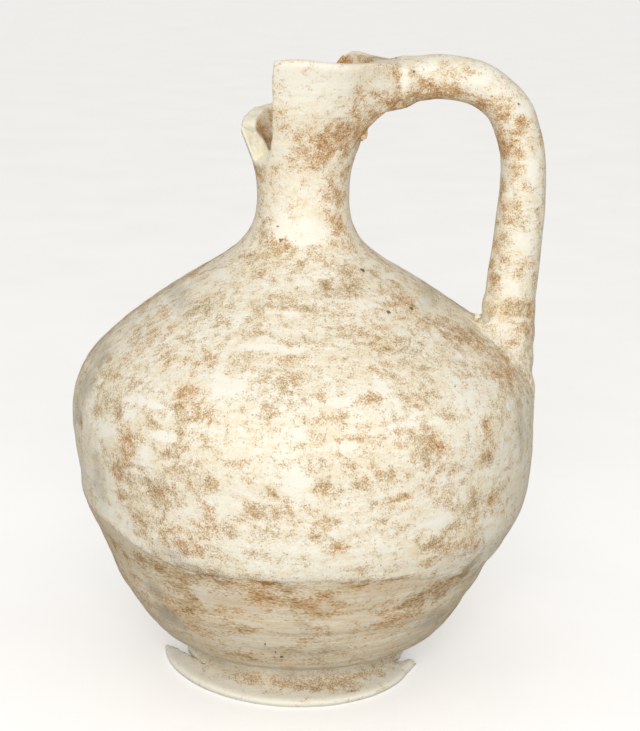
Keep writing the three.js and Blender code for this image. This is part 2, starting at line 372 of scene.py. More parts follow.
def wall_places(azimuth, height):
    """Points of the dressed outer wall, in millimetres."""
    lean = lean_at(height)
    stand_out = relief(azimuth.ravel(), height.ravel()).reshape(azimuth.shape)
    radius = outer_radius(height) + stand_out * np.cos(lean)
    return ring_places(azimuth, radius, height - stand_out * np.sin(lean), drift(height))


def throat_lump(azimuth, height):
    """Thicker clay left in the throat, which shows in the break beside the spout."""
    across = bell(turn_gap(azimuth, LUMP_SIDE) / 0.6)
    return LUMP_DEPTH * across * soft_rise(height, 212, 202) * soft_rise(height, 184, 196)


def inner_places(azimuth, height):
    """Points of the inner wall, with the deeper finger marks that a hidden side keeps."""
    radius = inner_radius(height)
    uneven = noise(ring_places(azimuth, radius, height).reshape(-1, 3), 30, 21).reshape(azimuth.shape)
    turns = height / FINGER_STEP - azimuth / FULL_TURN
    marks = FINGER_DEPTH * np.sin(FULL_TURN * turns) + 0.3 * uneven
    radius = radius + marks - throat_lump(azimuth, height)
    return ring_places(azimuth, radius, height, drift(height))


# Where the foot's own middle lies, a little off the body's axis
FOOT_CENTRE = -1.5


# Camera: the photograph's own view, from the front and a little above. Place in metres, angles in radians

IMAGE_WIDTH, IMAGE_HEIGHT = 640, 731
CAMERA_PLACE = Vector((0.00587, -0.600, 0.2853))
CAMERA_PITCH = 0.2704
CAMERA_ROLL = 0.0103
FOCAL_PIXELS = 1605
SENSOR_HEIGHT = 36

# The camera's place in the clay's own millimetres
CAMERA_START = np.array(CAMERA_PLACE) / MM - np.array([AXIS_X, 0, 0])


def set_down(name, data):
    """Makes an object of a mesh, a lamp or a camera and adds it to the scene."""
    made = bpy.data.objects.new(name, data)
    bpy.context.scene.collection.objects.link(made)
    return made


def camera_axes():
    forward = Vector((0, math.cos(CAMERA_PITCH), -math.sin(CAMERA_PITCH)))
    level_up = Vector((0, math.sin(CAMERA_PITCH), math.cos(CAMERA_PITCH)))
    level_right = Vector((1, 0, 0))
    right = math.cos(CAMERA_ROLL) * level_right + math.sin(CAMERA_ROLL) * level_up
    up = -math.sin(CAMERA_ROLL) * level_right + math.cos(CAMERA_ROLL) * level_up
    return right, up, forward


def make_camera():
    right, up, forward = camera_axes()
    data = bpy.data.cameras.new("photo_view")
    data.sensor_fit = "VERTICAL"
    data.sensor_height = SENSOR_HEIGHT
    data.lens = FOCAL_PIXELS / IMAGE_HEIGHT * SENSOR_HEIGHT
    camera = set_down("photo_view", data)
    turn = Matrix((right, up, -forward)).transposed()
    camera.matrix_world = Matrix.Translation(CAMERA_PLACE) @ turn.to_4x4()
    bpy.context.scene.camera = camera


def picture_rays(across, down):
    """Directions of the camera's rays through picture places."""
    right, up, forward = (np.array(axis) for axis in camera_axes())
    side = (np.atleast_1d(across) - IMAGE_WIDTH / 2) / FOCAL_PIXELS
    rise = (IMAGE_HEIGHT / 2 - np.atleast_1d(down)) / FOCAL_PIXELS
    return forward + side[:, None] * right + rise[:, None] * up


# Depths in the view between which a ray can meet the jug
SEEN_DEPTHS = np.arange(440.0, 720.0, 0.5)

# Height and radius of the foot's plain side
FOOT_SIDE = ((0, 52.3), (1.5, 53), (3.4, 50.6), (6, 42.5), (8.5, 40.6), (12, 41.9))

# The plane, as a y, of the handle's near side
BAR_NEAR_SIDE = -8.5


def seen_on_wall(across, down):
    """Points of the wall and the foot that are seen at picture places."""
    ray = picture_rays(across, down)
    places = CAMERA_START + SEEN_DEPTHS[None, :, None] * ray[:, None, :]
    height = places[..., 2]
    foot = np.interp(height, *zip(*FOOT_SIDE))
    gap = round_axis(places)[1] - np.where(height < FOOT_JOINT, foot, outer_radius(height))
    first = np.argmax(gap < 0, axis=1)
    missed = ~(gap < 0).any(axis=1)
    first[missed] = np.argmin(gap[missed], axis=1)
    return places[np.arange(len(first)), first]


def onto_near_side(ray):
    """Points where the camera's rays meet the plane of the handle's near side."""
    reach = (BAR_NEAR_SIDE - CAMERA_START[1]) / ray[:, 1]
    return CAMERA_START + reach[:, None] * ray


def seen_on_bar(across, down):
    """Points of the handle's near side that are seen at picture places."""
    return onto_near_side(picture_rays(across, down))


# Marks of the ground that the jug lay in, read off the photograph:
# picture place (across, down), half width, half height and strength

# A few of these marks are painted shade or painted light instead, noted where they stand
TAN_CLOUDS = (
    # shoulder
    (255, 256, 16, 12, 0.4), (205, 302, 24, 12, 0.35), (350, 287, 26, 10, 0.5), (395, 302, 22, 11, 0.45),
    (432, 325, 26, 11, 0.45), (466, 337, 14, 9, 0.5), (150, 345, 34, 16, 0.3), (300, 275, 24, 10, 0.3),
    (344, 330, 12, 16, 0.35), (258, 320, 22, 12, 0.3), (200, 345, 20, 10, 0.3), (395, 350, 30, 14, 0.35),
    # belly, left
    (108, 392, 16, 26, 0.4), (128, 440, 16, 20, 0.5), (126, 475, 18, 20, 0.5), (172, 456, 28, 20, 0.35),
    (165, 492, 32, 16, 0.45), (150, 525, 24, 16, 0.45), (185, 535, 26, 14, 0.35), (215, 450, 18, 12, 0.3),
    (187, 405, 22, 14, 0.3), (225, 478, 24, 14, 0.25), (230, 520, 26, 14, 0.3),
    # belly, front
    (275, 510, 30, 14, 0.5), (260, 532, 16, 20, 0.4), (330, 520, 20, 12, 0.35), (335, 546, 18, 8, 0.4),
    (375, 475, 22, 12, 0.5), (345, 485, 30, 14, 0.35), (290, 385, 16, 18, 0.35), (330, 420, 24, 10, 0.35),
    (385, 440, 30, 12, 0.3), (370, 400, 18, 10, 0.35), (400, 505, 24, 12, 0.35),
    # belly, right, and the lower bowl under it
    (430, 452, 24, 15, 0.5), (440, 482, 28, 14, 0.4), (486, 455, 14, 16, 0.5), (470, 510, 24, 24, 0.5),
    (502, 490, 14, 28, 0.45), (508, 390, 14, 26, 0.55), (500, 360, 14, 14, 0.5), (440, 545, 26, 12, 0.45),
    (442, 589, 30, 14, 0.6), (464, 572, 12, 14, 0.55), (410, 604, 26, 9, 0.45), (472, 540, 22, 14, 0.5),
    (458, 415, 16, 12, 0.35), (518, 440, 8, 34, 0.4), (420, 398, 24, 10, 0.3), (465, 370, 20, 12, 0.3),
    # lower bowl
    # The first cloud on the next line, (158, 562), is painted shadow under the crest at the left
    (158, 562, 26, 10, 0.5), (190, 578, 34, 10, 0.5), (232, 582, 32, 10, 0.5), (272, 592, 32, 11, 0.5),
    (182, 604, 24, 12, 0.5), (330, 597, 30, 9, 0.45), (300, 612, 34, 9, 0.4), (385, 608, 24, 10, 0.45),
    (425, 598, 28, 13, 0.5), (240, 630, 34, 7, 0.45), (310, 636, 36, 7, 0.4), (400, 628, 28, 8, 0.4),
    (250, 560, 28, 8, 0.35), (355, 572, 26, 8, 0.3), (205, 632, 22, 9, 0.4),
    # foot
    (290, 684, 60, 6, 0.4), (340, 690, 24, 6, 0.45), (230, 674, 26, 5, 0.3), (385, 674, 16, 8, 0.3),
    # neck and mouth
    (338, 190, 9, 34, 0.4), (336, 225, 8, 18, 0.4), (342, 243, 14, 10, 0.4), (275, 243, 14, 7, 0.35),
    (334, 140, 18, 20, 0.6), (310, 150, 22, 10, 0.5), (285, 135, 16, 10, 0.35), (352, 112, 10, 18, 0.45),
    (300, 168, 30, 8, 0.25),
)
RUST_MARKS = (
    # shoulder, left of the neck's foot
    (256, 252, 11, 13, 0.45), (263, 233, 6, 8, 0.5), (288, 247, 8, 7, 0.7), (301, 264, 5, 6, 0.6),
    (302, 273, 6, 4, 0.6), (262, 275, 5, 3, 0.8), (271, 297, 15, 5, 0.7), (284, 305, 12, 4, 0.75),
    (302, 310, 8, 4, 0.5), (252, 306, 9, 4, 0.5), (198, 310, 6, 8, 0.6), (225, 322, 15, 6, 0.45),
    (258, 331, 6, 4, 0.8), (190, 340, 9, 4, 0.75), (163, 309, 6, 4, 0.4), (152, 334, 20, 10, 0.3),
    # shoulder, right of it
    (337, 230, 6, 5, 0.7), (342, 243, 10, 10, 0.65), (318, 254, 13, 6, 0.4), (352, 268, 10, 7, 0.55),
    (326, 286, 5, 4, 0.9), (352, 291, 17, 7, 0.85), (326, 294, 8, 3, 0.6), (390, 292, 9, 9, 0.45),
    (382, 278, 6, 4, 0.4), (404, 305, 11, 8, 0.6), (401, 319, 9, 3, 0.6), (427, 323, 7, 4, 0.85),
    (440, 320, 10, 5, 0.5), (461, 333, 8, 7, 0.7), (338, 324, 4, 9, 0.6), (352, 335, 9, 6, 0.65),
    (312, 312, 9, 5, 0.6), (388, 345, 17, 7, 0.75), (405, 363, 15, 3, 0.45), (424, 370, 9, 5, 0.65),
    # left cheek of the belly
    (164, 357, 14, 7, 0.6), (210, 358, 8, 4, 0.7), (198, 365, 11, 4, 0.45), (112, 363, 11, 9, 0.5),
    (104, 372, 5, 4, 0.6), (94, 378, 2.5, 6, 0.85), (116, 377, 6, 5, 0.65), (130, 382, 11, 7, 0.35),
    (169, 390, 4, 3, 0.6), (186, 391, 8, 4, 0.7), (109, 401, 7, 6, 0.7), (116, 412, 8, 8, 0.8),
    (97, 412, 5, 9, 0.45), (183, 410, 15, 4, 0.6), (190, 418, 7, 5, 0.8), (206, 411, 10, 5, 0.5),
    (157, 426, 7, 4, 0.9), (181, 434, 5, 4, 0.7), (130, 444, 9, 14, 0.75), (80, 424, 2.5, 5, 0.7),
    (81, 449, 3, 8, 0.6), (165, 454, 16, 9, 0.5), (205, 446, 6, 4, 0.8), (225, 443, 6, 4, 0.5),
    (136, 467, 10, 5, 1.0), (118, 474, 6, 10, 0.8), (131, 480, 7, 7, 0.8), (150, 482, 10, 9, 0.8),
    (183, 472, 9, 6, 0.7), (231, 463, 7, 4, 0.8), (194, 485, 11, 7, 0.6), (212, 484, 7, 6, 0.7),
    (173, 493, 5, 4, 0.5), (157, 498, 15, 9, 0.7), (124, 496, 8, 9, 0.5),
    # front of the belly
    (292, 377, 10, 6, 0.75), (284, 389, 4, 5, 0.7), (292, 402, 5, 5, 0.8), (319, 397, 8, 4, 0.85),
    (327, 386, 5, 4, 0.5), (338, 364, 11, 8, 0.45), (306, 420, 5, 4, 0.9), (332, 420, 9, 4, 0.9),
    (340, 428, 4, 3, 0.8), (368, 397, 10, 4, 0.7), (362, 409, 4, 3, 0.8), (384, 411, 3, 3, 0.8),
    (267, 409, 5, 9, 0.45), (366, 426, 7, 2, 0.7), (396, 430, 7, 2, 0.7), (338, 441, 4, 3, 0.8),
    (362, 439, 13, 1.6, 0.7), (323, 462, 7, 7, 0.7), (353, 465, 11, 2, 0.8), (378, 474, 12, 7, 1.0),
    (395, 474, 6, 6, 0.6), (362, 486, 8, 4, 0.8), (321, 488, 8, 7, 0.85), (342, 492, 5, 4, 0.7),
    (280, 477, 4, 4, 0.8), (273, 493, 9, 7, 0.75), (258, 512, 15, 7, 0.85), (283, 511, 8, 5, 0.75),
    (316, 519, 7, 5, 0.75), (371, 503, 8, 4, 0.4), (400, 499, 9, 4, 0.7), (241, 463, 7, 4, 0.4),
    # right cheek of the belly
    (464, 337, 11, 6, 0.55), (484, 346, 10, 7, 0.65), (500, 359, 5, 5, 0.6), (439, 362, 3, 3, 0.6),
    (459, 375, 6, 5, 0.5), (491, 372, 5, 6, 0.7), (506, 378, 9, 8, 0.55), (513, 393, 7, 5, 0.6),
    (426, 398, 11, 6, 0.5), (407, 399, 10, 5, 0.45), (451, 417, 7, 6, 0.8), (424, 426, 4, 4, 0.6),
    (485, 428, 6, 8, 0.65), (500, 413, 6, 10, 0.55), (427, 447, 9, 7, 0.9), (441, 449, 5, 5, 0.8),
    (430, 462, 9, 5, 0.6), (411, 475, 6, 5, 0.85), (438, 473, 5, 3, 0.85), (459, 467, 8, 5, 0.6),
    (466, 441, 6, 6, 0.6), (488, 458, 7, 8, 1.0), (493, 446, 4, 4, 0.6), (466, 480, 5, 3, 0.6),
    (473, 498, 6, 9, 0.7), (447, 501, 9, 8, 0.7), (492, 499, 4, 8, 0.6), (457, 510, 10, 5, 0.6),
    # above the crest
    (143, 517, 17, 12, 0.85), (167, 533, 13, 9, 0.85), (190, 549, 12, 7, 0.8), (139, 534, 9, 6, 0.7),
    (208, 511, 6, 6, 0.6), (219, 532, 11, 7, 0.6), (233, 535, 5, 6, 0.7), (268, 531, 9, 7, 0.6),
    (318, 538, 9, 6, 0.8), (259, 553, 12, 6, 0.8), (220, 554, 5, 6, 0.6), (338, 522, 5, 4, 0.8),
    (337, 548, 8, 4, 0.8), (402, 530, 6, 4, 0.6), (416, 539, 10, 6, 0.7), (433, 543, 14, 7, 0.9),
    (452, 525, 9, 6, 0.7), (475, 547, 3, 2, 1.0), (359, 569, 11, 4, 0.8), (396, 565, 5, 3, 0.7),
    (428, 563, 9, 4, 0.85),
    # lower bowl
    (147, 561, 11, 6, 0.95), (163, 572, 13, 5, 0.8), (112, 542, 8, 7, 0.7), (126, 556, 5, 4, 1.0),
    (134, 577, 7, 6, 0.7), (211, 575, 21, 7, 0.7), (248, 577, 15, 5, 0.6), (268, 583, 15, 6, 0.95),
    (286, 589, 8, 4, 0.8), (263, 599, 17, 5, 0.7), (190, 596, 8, 10, 0.8), (179, 590, 10, 5, 0.5),
    (190, 609, 5, 4, 0.9), (220, 611, 6, 3, 0.9), (295, 600, 6, 3, 0.8), (323, 594, 15, 7, 0.8),
    (305, 607, 13, 3, 0.85), (240, 631, 9, 3, 0.8), (300, 642, 14, 4, 0.7), (361, 585, 13, 5, 0.7),
    (348, 605, 10, 3, 0.8), (326, 613, 14, 4, 0.6), (402, 578, 15, 4, 0.55), (386, 606, 5, 4, 0.95),
    (411, 615, 15, 6, 0.7), (436, 593, 17, 8, 0.7), (460, 577, 12, 7, 0.65), (380, 624, 15, 4, 0.6),
    (321, 628, 9, 3, 0.6), (236, 656, 13, 3, 0.6),
    # foot
    (198, 675, 3, 4, 0.6), (246, 683, 15, 4, 0.45), (257, 677, 8, 2, 0.7), (296, 682, 10, 4, 0.7),
    (322, 688, 15, 7, 0.6), (361, 678, 13, 4, 0.65), (357, 691, 8, 4, 1.0), (276, 690, 11, 4, 0.45),
    # neck and mouth
    (299, 137, 5, 5, 0.6), (278, 140, 3, 2, 0.8), (284, 124, 6, 4, 0.3), (330, 128, 6, 6, 0.8),
    (317, 146, 5, 3, 1.0), (331, 149, 9, 3, 1.0), (342, 137, 9, 10, 0.9), (355, 126, 8, 6, 0.85),
    (326, 137, 9, 5, 0.7), (319, 156, 11, 5, 0.8), (309, 159, 8, 3, 0.8), (289, 158, 6, 4, 0.6),
    (345, 154, 4, 5, 0.8), (277, 168, 6, 4, 0.55), (258, 172, 6, 6, 1.0), (316, 167, 5, 4, 0.5),
    (347, 168, 3, 7, 0.6), (331, 183, 5, 4, 0.6), (337, 197, 6, 6, 0.8), (327, 212, 4, 4, 0.7),
    (333, 220, 5, 5, 0.6), (300, 186, 4, 2, 0.5), (262, 215, 4, 16, 0.35), (358, 104, 6, 10, 0.75),
    (361, 93, 6, 5, 0.6), (372, 100, 5, 6, 0.35),
)

PALE_MARKS = (
    (223, 276, 12, 6, 0.6), (304, 282, 9, 4, 0.8), (284, 313, 13, 4, 0.9), (241, 319, 6, 8, 0.8),
    (318, 275, 17, 4, 0.8), (368, 305, 8, 4, 0.6), (372, 262, 7, 3, 0.6), (388, 276, 9, 3, 0.7),
    (425, 302, 7, 4, 0.7), (230, 387, 17, 12, 1.0), (147, 403, 22, 3, 0.9), (129, 414, 7, 5, 0.9),
    (106, 430, 14, 8, 0.6), (142, 474, 6, 4, 0.9), (145, 455, 4, 9, 0.8), (165, 436, 11, 5, 0.8),
    (338, 403, 11, 4, 0.9), (299, 480, 8, 15, 0.9), (381, 388, 6, 9, 0.9), (397, 407, 5, 10, 0.8),
    (466, 398, 11, 8, 0.7), (487, 472, 9, 5, 0.8), (444, 480, 8, 4, 0.7), (510, 405, 5, 5, 0.7),
    (105, 510, 9, 8, 0.7), (437, 522, 15, 7, 0.8), (491, 532, 9, 9, 0.5), (201, 592, 7, 7, 0.7),
    # On the next line, (250, 697) is painted light on the foot's lip
    (278, 612, 9, 5, 0.6), (396, 605, 7, 3, 0.7), (250, 697, 32, 5, 1.0), (265, 348, 40, 4, 0.8),
    (410, 425, 40, 3, 0.7), (300, 232, 26, 12, 0.8), (315, 85, 34, 20, 0.5), (247, 140, 6, 22, 0.7),
    (200, 340, 12, 3, 0.5), (350, 448, 9, 6, 0.6), (285, 434, 18, 7, 0.6), (225, 500, 18, 5, 0.5),
)

GREY_MARKS = (
    (86, 385, 7, 34, 0.8), (171, 617, 13, 13, 1.0), (157, 589, 10, 10, 0.7), (169, 554, 13, 5, 0.8),
    (190, 565, 12, 4, 0.7), (303, 624, 9, 3, 0.8), (469, 566, 13, 6, 0.9), (435, 619, 17, 7, 0.8),
    # On the next line, (300, 652) is a band of painted shade across the bottom of the bowl above the foot
    (100, 350, 12, 12, 0.5), (520, 420, 6, 40, 0.5), (300, 652, 60, 6, 0.5), (99, 480, 9, 22, 0.5),
    # On the next line, (265, 135) is a painted shadow streak on the inner wall of the stump beside the break
    (175, 290, 26, 8, 0.5), (430, 290, 24, 8, 0.5), (265, 135, 4, 14, 0.8),
)

PITS = (
    (265, 644, 1.5), (275, 652, 1.2), (281.5, 656.5, 1.5), (274.5, 657.5, 1.0), (388.5, 312, 1.6),
    (411.5, 308.5, 1.3), (370, 289, 1.2), (455, 386.5, 1.4), (278, 226, 1.2), (281, 240, 1.8),
    (284, 389, 1.2), (254, 437, 1.0), (362, 270, 1.6), (304, 341, 1.1), (171, 389, 1.0),
)


# Marks on the handle and on the clay at its two ends
BAR_RUST_AND_SHADE_MARKS = (
    (452, 91, 10, 7, 1.0), (440, 88, 12, 6, 0.9), (481, 105, 7, 5, 0.85), (505, 111, 7, 7, 0.9),
    (521, 121, 5, 4, 0.8), (493, 100, 5, 5, 0.7), (500, 138, 4, 8, 0.8), (513, 141, 8, 11, 0.6),
    (518, 153, 6, 5, 0.7), (504, 151, 4, 7, 0.9), (516, 173, 4, 6, 0.7), (525, 186, 5, 5, 0.7),
    (503, 186, 4, 6, 0.8), (503, 206, 5, 7, 0.9), (516, 208, 7, 7, 0.6), (498, 222, 5, 8, 0.95),
    (510, 219, 6, 5, 0.6), (539, 221, 3, 9, 0.7), (503, 241, 8, 6, 0.9), (505, 257, 6, 5, 1.0),
    (523, 225, 5, 6, 0.5), (491, 267, 4, 6, 0.7), (520, 266, 7, 8, 0.5), (496, 282, 6, 9, 0.8),
    (534, 274, 4, 7, 0.6), (535, 292, 3, 8, 0.6), (513, 305, 17, 6, 0.75), (524, 330, 7, 9, 0.6),
    (398, 73, 4, 12, 0.9), (414, 74, 9, 4, 0.6), (430, 82, 7, 5, 0.8), (418, 96, 14, 5, 0.9),
    (392, 106, 14, 7, 0.95), (372, 118, 8, 8, 0.95), (366, 128, 5, 7, 0.9), (356, 137, 5, 8, 0.8),
    (380, 94, 9, 4, 0.6), (463, 73, 12, 4, 0.3), (436, 62, 10, 4, 0.3), (541, 141, 2.5, 9, 0.7),
    # The four thin marks on the next line are painted shade along the crevice under the wad's lower edge
    (424, 101, 8, 1.6, 1.0), (405, 106, 9, 1.6, 1.0), (389, 113, 9, 1.6, 1.0), (373, 122, 8, 1.8, 1.0),
)
BAR_TAN_CLOUDS = (
    (394, 82, 8, 18, 0.5), (385, 100, 18, 12, 0.45), (445, 92, 28, 8, 0.5), (500, 112, 14, 14, 0.4),
    (364, 135, 6, 8, 0.9), (372, 118, 14, 12, 0.5), (506, 150, 10, 24, 0.4), (503, 215, 10, 30, 0.45),
    (520, 215, 16, 20, 0.3), (502, 262, 12, 24, 0.45), (512, 310, 24, 12, 0.55), (500, 335, 20, 14, 0.5),
    (526, 335, 10, 20, 0.5), (420, 62, 20, 6, 0.3), (505, 350, 16, 12, 0.5), (515, 362, 12, 14, 0.45),
)
BAR_PALE_MARKS = (
    (506, 284, 5, 7, 0.9), (514, 290, 5, 5, 0.8), (510, 195, 4, 4, 0.8), (526, 106, 7, 6, 0.6),
    (533, 168, 5, 16, 0.8), (511, 125, 5, 5, 0.7), (405, 74, 3, 13, 0.8), (427, 67, 12, 5, 0.7),
    (474, 84, 14, 8, 0.6), (519, 236, 7, 8, 0.7), (527, 245, 5, 12, 0.7), (503, 168, 6, 8, 0.7),
    (488, 338, 9, 4, 0.7), (385, 84, 8, 6, 0.5), (487, 321, 4, 3, 0.9), (497, 347, 4, 7, 0.6),
    (520, 320, 8, 3, 0.8), (523, 338, 3, 9, 0.7),
)
BAR_PITS = (
    (414, 71.5, 1.0), (424, 69.5, 0.9), (430, 83.5, 1.1), (519, 104, 1.2), (396, 58, 1.0),
)

# Marks inside the broken mouth: azimuth in degrees, height, half width, half height and strength
MOUTH_INSIDE_MARKS = (
    (168, 209, 4, 5, 0.9), (150, 205, 6, 6, 0.6), (110, 214, 8, 4, 0.5), (61, 233, 3, 2.5, 1.0),
    (52, 234, 3.2, 2.6, 1.0), (31, 235, 4, 3, 1.0), (20, 235, 3, 2.2, 0.8), (45, 227, 7, 3, 0.6),
    (80, 222, 9, 5, 0.6), (20, 226, 8, 5, 0.5), (330, 222, 9, 6, 0.5), (285, 224, 8, 6, 0.5),
)


def sized_marks(marks, seen):
    """Places, half sizes in millimetres and strength of picture marks, on what they are seen on."""
    across, down, half_width, half_height, strength = np.array(marks, float).T
    spot = seen(across, down)
    pixels = FOCAL_PIXELS / np.linalg.norm(spot - CAMERA_START, axis=-1)
    return spot, half_width / pixels, half_height / pixels, strength


def read_marks(marks):
    """Marks on the wall, widened where it turns away from the camera."""
    spot, half_width, half_height, strength = sized_marks(marks, seen_on_wall)
    facing_round = np.abs(np.sin(round_axis(spot)[0]))
    facing_up = np.abs(np.cos(lean_at(spot[:, 2]) + CAMERA_PITCH))
    half_width = half_width / np.maximum(facing_round, 0.3)
    return spot, half_width, half_height / np.maximum(facing_up, 0.45), strength


# How far stains spread beyond their marks
SPREAD = 1.3


def spread_out(marks):
    """Marks made as wide and tall as the stains that they stand for."""
    return [
        (across, down, SPREAD * wide, SPREAD * tall, strength)
        for across, down, wide, tall, strength in marks
    ]


def round_marks(pits):
    return [(across, down, reach, reach, 1.0) for across, down, reach in pits]


# Raggedness of a stain's edge, and of the edge of the painted light on the foot's lip: weight, size and seed
# of each noise
STAIN_EDGE = ((0.34, 5.5, 31), (0.26, 2.4, 32))
LIT_LIP_EDGE = ((1.6, 7, 52), (0.8, 2.6, 53))


def spread_marks(places, read, softness, across=None):
    """Soft, ragged blotches at the places of the marks. across is the sideways direction,
    or None for the direction round the pot."""
    ragged = layered_noise(places, STAIN_EDGE)
    clear = np.ones(len(places))
    for spot, half_width, half_height, strength in zip(*read):
        gap = places - spot
        length = (gap * gap).sum(axis=-1)
        near = length < (2.0 * max(half_width, half_height)) ** 2
        sideways = across
        if across is None:
            sideways = np.array([-spot[1], spot[0], 0]) / np.hypot(spot[0], spot[1])
        side = gap[near] @ sideways
        rest = np.maximum(length[near] - side * side, 0)
        away = np.sqrt((side / half_width) ** 2 + rest / half_height**2) + ragged[near]
        clear[near] *= 1 - strength * smooth_step((1.5 - away) / softness)
    return 1 - clear


def hidden_blotches(places, size, seed, least, softness):
    """Made-up stains for a side that the photograph doesn't show."""
    cloud = layered_noise(places, ((0.6, size, seed), (0.4, size * 0.42, seed + 1)))
    return smooth_step((cloud - least) / softness)


# Softness of the edges of stains, of pale and grey patches, and of pits
STAIN_SOFTNESS = 1.5
PATCH_SOFTNESS = 1.1
PIT_SOFTNESS = 0.5

# Marks on the wall and their softness, then hidden_blotches' settings for the far side and their strength
WALL_STAINS = {
    "rust_and_shade": (spread_out(RUST_MARKS) + list(TAN_CLOUDS), STAIN_SOFTNESS, (15, 41, -0.12, 0.5), 0.9),
    "pale": (PALE_MARKS, PATCH_SOFTNESS, (17, 44, 0.16, 0.3), 0.8),
    "grey": (GREY_MARKS, PATCH_SOFTNESS, (26, 47, 0.22, 0.3), 0.6),
}

# Azimuth of the side that faces the camera
FRONT = 270

# Radius at which the painted light on the foot's outer lip starts, and how much it holds back the rust and
# covers
LIT_LIP_START = 43
LIT_LIP_CLEARS = 0.25
LIT_LIP_COVERS = 0.8

# Strength of the thin rusty veil over the shoulder, and of the even one over the handle
SHOULDER_VEIL = 0.15
HANDLE_VEIL = 0.05


def wall_finish(places):
    """Masks of the finish: rust blooms, thick pale slip, grey clay, dark pits and worn slip. The grey mask
    also holds painted shade under the bowl, the rust mask a few painted shadows, and the pale mask painted
    light on the foot's lip.
    """
    azimuth, _ = round_axis(places)
    height = places[:, 2]
    unseen = smooth_step((0.25 - np.cos(turn_gap(azimuth, FRONT))) / 0.35)
    masks = {}
    for name, (marks, softness, cloud, strength) in WALL_STAINS.items():
        shown = spread_marks(places, read_marks(marks), softness)
        masks[name] = np.maximum(shown, unseen * hidden_blotches(places, *cloud) * strength)
    masks["pit"] = spread_marks(places, read_marks(round_marks(PITS)), PIT_SOFTNESS)

    below = around_path(azimuth, CREST) - height
    worn = smooth_step(below / 2.5) * (0.78 + 0.22 * noise(places, 20, 49))
    worn = worn * (0.15 + 0.85 * soft_rise(height, 8, 14))
    # Painted light: the foot's outer lip is made pale, as if lit past the bowl's shade, and kept clear of
    # wear and of the painted shade
    reach = round_axis(places, FOOT_CENTRE)[1] - LIT_LIP_START + layered_noise(places, LIT_LIP_EDGE)
    lit_lip = smooth_step(reach / 8) * smooth_step(7 - height)
    # Painted shade: darker from about 4 to 18 mm up, under the bowl and on the foot's neck, kept off the lit
    # lip. It goes into the grey mask.
    under = soft_rise(height, 18, 12) * soft_rise(height, 4, 8)
    painted_shade = (1 - lit_lip) * under * (0.85 + 0.35 * noise(places, 9, 50))
    flecks = soft_rise(height, 8.5, 5.5) * (0.36 + 0.3 * noise(places, 8, 54)) * (1 - 0.5 * lit_lip)
    veil = soft_rise(height, 108, 120) * soft_rise(height, 200, 160)
    rust_and_shade = np.maximum(masks["rust_and_shade"] * (1 - LIT_LIP_CLEARS * lit_lip), flecks)
    masks["rust_and_shade"] = rust_and_shade + SHOULDER_VEIL * veil * (1 - rust_and_shade)
    masks["pale"] = np.maximum(masks["pale"], LIT_LIP_COVERS * lit_lip)
    masks["grey"] = np.maximum(masks["grey"], np.clip(painted_shade, 0, 1.2))
    masks["worn"] = worn * (1 - lit_lip)
    return masks


def bar_finish(places):
    """The same masks for the handle and the clay at its two ends."""
    level = np.array([1.0, 0, 0])
    flat = onto_near_side(places - CAMERA_START)
    unseen = soft_rise(places[:, 1], 1, 5)

    def shown(marks, softness):
        return (1 - unseen) * spread_marks(flat, sized_marks(marks, seen_on_bar), softness, level)

    rust_and_shade = shown(spread_out(BAR_RUST_AND_SHADE_MARKS) + list(BAR_TAN_CLOUDS), STAIN_SOFTNESS)
    rust_and_shade = rust_and_shade + HANDLE_VEIL * (1 - rust_and_shade)
    rust_and_shade = np.maximum(rust_and_shade, unseen * hidden_blotches(places, 11, 51, -0.12, 0.5) * 0.9)
    pale = shown(BAR_PALE_MARKS, PATCH_SOFTNESS)
    pale = np.maximum(pale, unseen * hidden_blotches(places, 14, 54, 0.18, 0.3) * 0.8)
    pit = shown(round_marks(BAR_PITS), PIT_SOFTNESS)
    none = np.zeros(len(places))
    return {"rust_and_shade": rust_and_shade, "pale": pale, "grey": none, "pit": pit, "worn": none}


# Meshes: places round each ring, and steps along the outer and the inner wall in millimetres

AROUND = 512
ROW = 0.95
INNER_ROW = 2.4
RING_TURNS = np.arange(AROUND) * FULL_TURN / AROUND


def make_mesh(name, points, quads, triangles):
    mesh = bpy.data.meshes.new(name)
    mesh.vertices.add(len(points))
    mesh.vertices.foreach_set("co", ((points + [AXIS_X, 0, 0]) * MM).astype(np.float32).ravel())
    corners = np.concatenate([quads.ravel(), triangles.ravel()]).astype(np.int32)
    starts = np.concatenate([4 * np.arange(len(quads)), 4 * len(quads) + 3 * np.arange(len(triangles))])
    mesh.loops.add(len(corners))
    mesh.loops.foreach_set("vertex_index", corners)
    mesh.polygons.add(len(starts))
    mesh.polygons.foreach_set("loop_start", starts.astype(np.int32))
    mesh.update(calc_edges=True)
    mesh.shade_smooth()
    return mesh


def mesh_points(mesh):
    flat = np.zeros(3 * len(mesh.vertices), np.float32)
    mesh.vertices.foreach_get("co", flat)
    return flat.reshape(-1, 3).astype(float) / MM - [AXIS_X, 0, 0]


def give_masks(mesh, masks):
    for name, values in masks.items():
        kind, field = ("FLOAT_VECTOR", "vector") if values.ndim == 2 else ("FLOAT", "value")
        layer = mesh.attributes.new(name, kind, "POINT")
        layer.data.foreach_set(field, values.astype(np.float32).ravel())


# Radius in metres of the ring that the turned grain is wound on: the smaller, the longer its streaks
GRAIN_RING = 0.006


def turned_grain(places):
    """Coordinates that run long round the pot and short along its wall, in metres."""
    height = places[:, 2]
    along = np.where(height < FOOT_JOINT, height - FOOT_JOINT, along_at(height))
    return ring_places(round_axis(places)[0], GRAIN_RING, along * MM)


def give_wall_masks(mesh, bare=None):
    places = mesh_points(mesh)
    masks = wall_finish(places)
    masks["turned"] = turned_grain(places)
    masks["bare"] = np.zeros(len(places)) if bare is None else bare
    give_masks(mesh, masks)


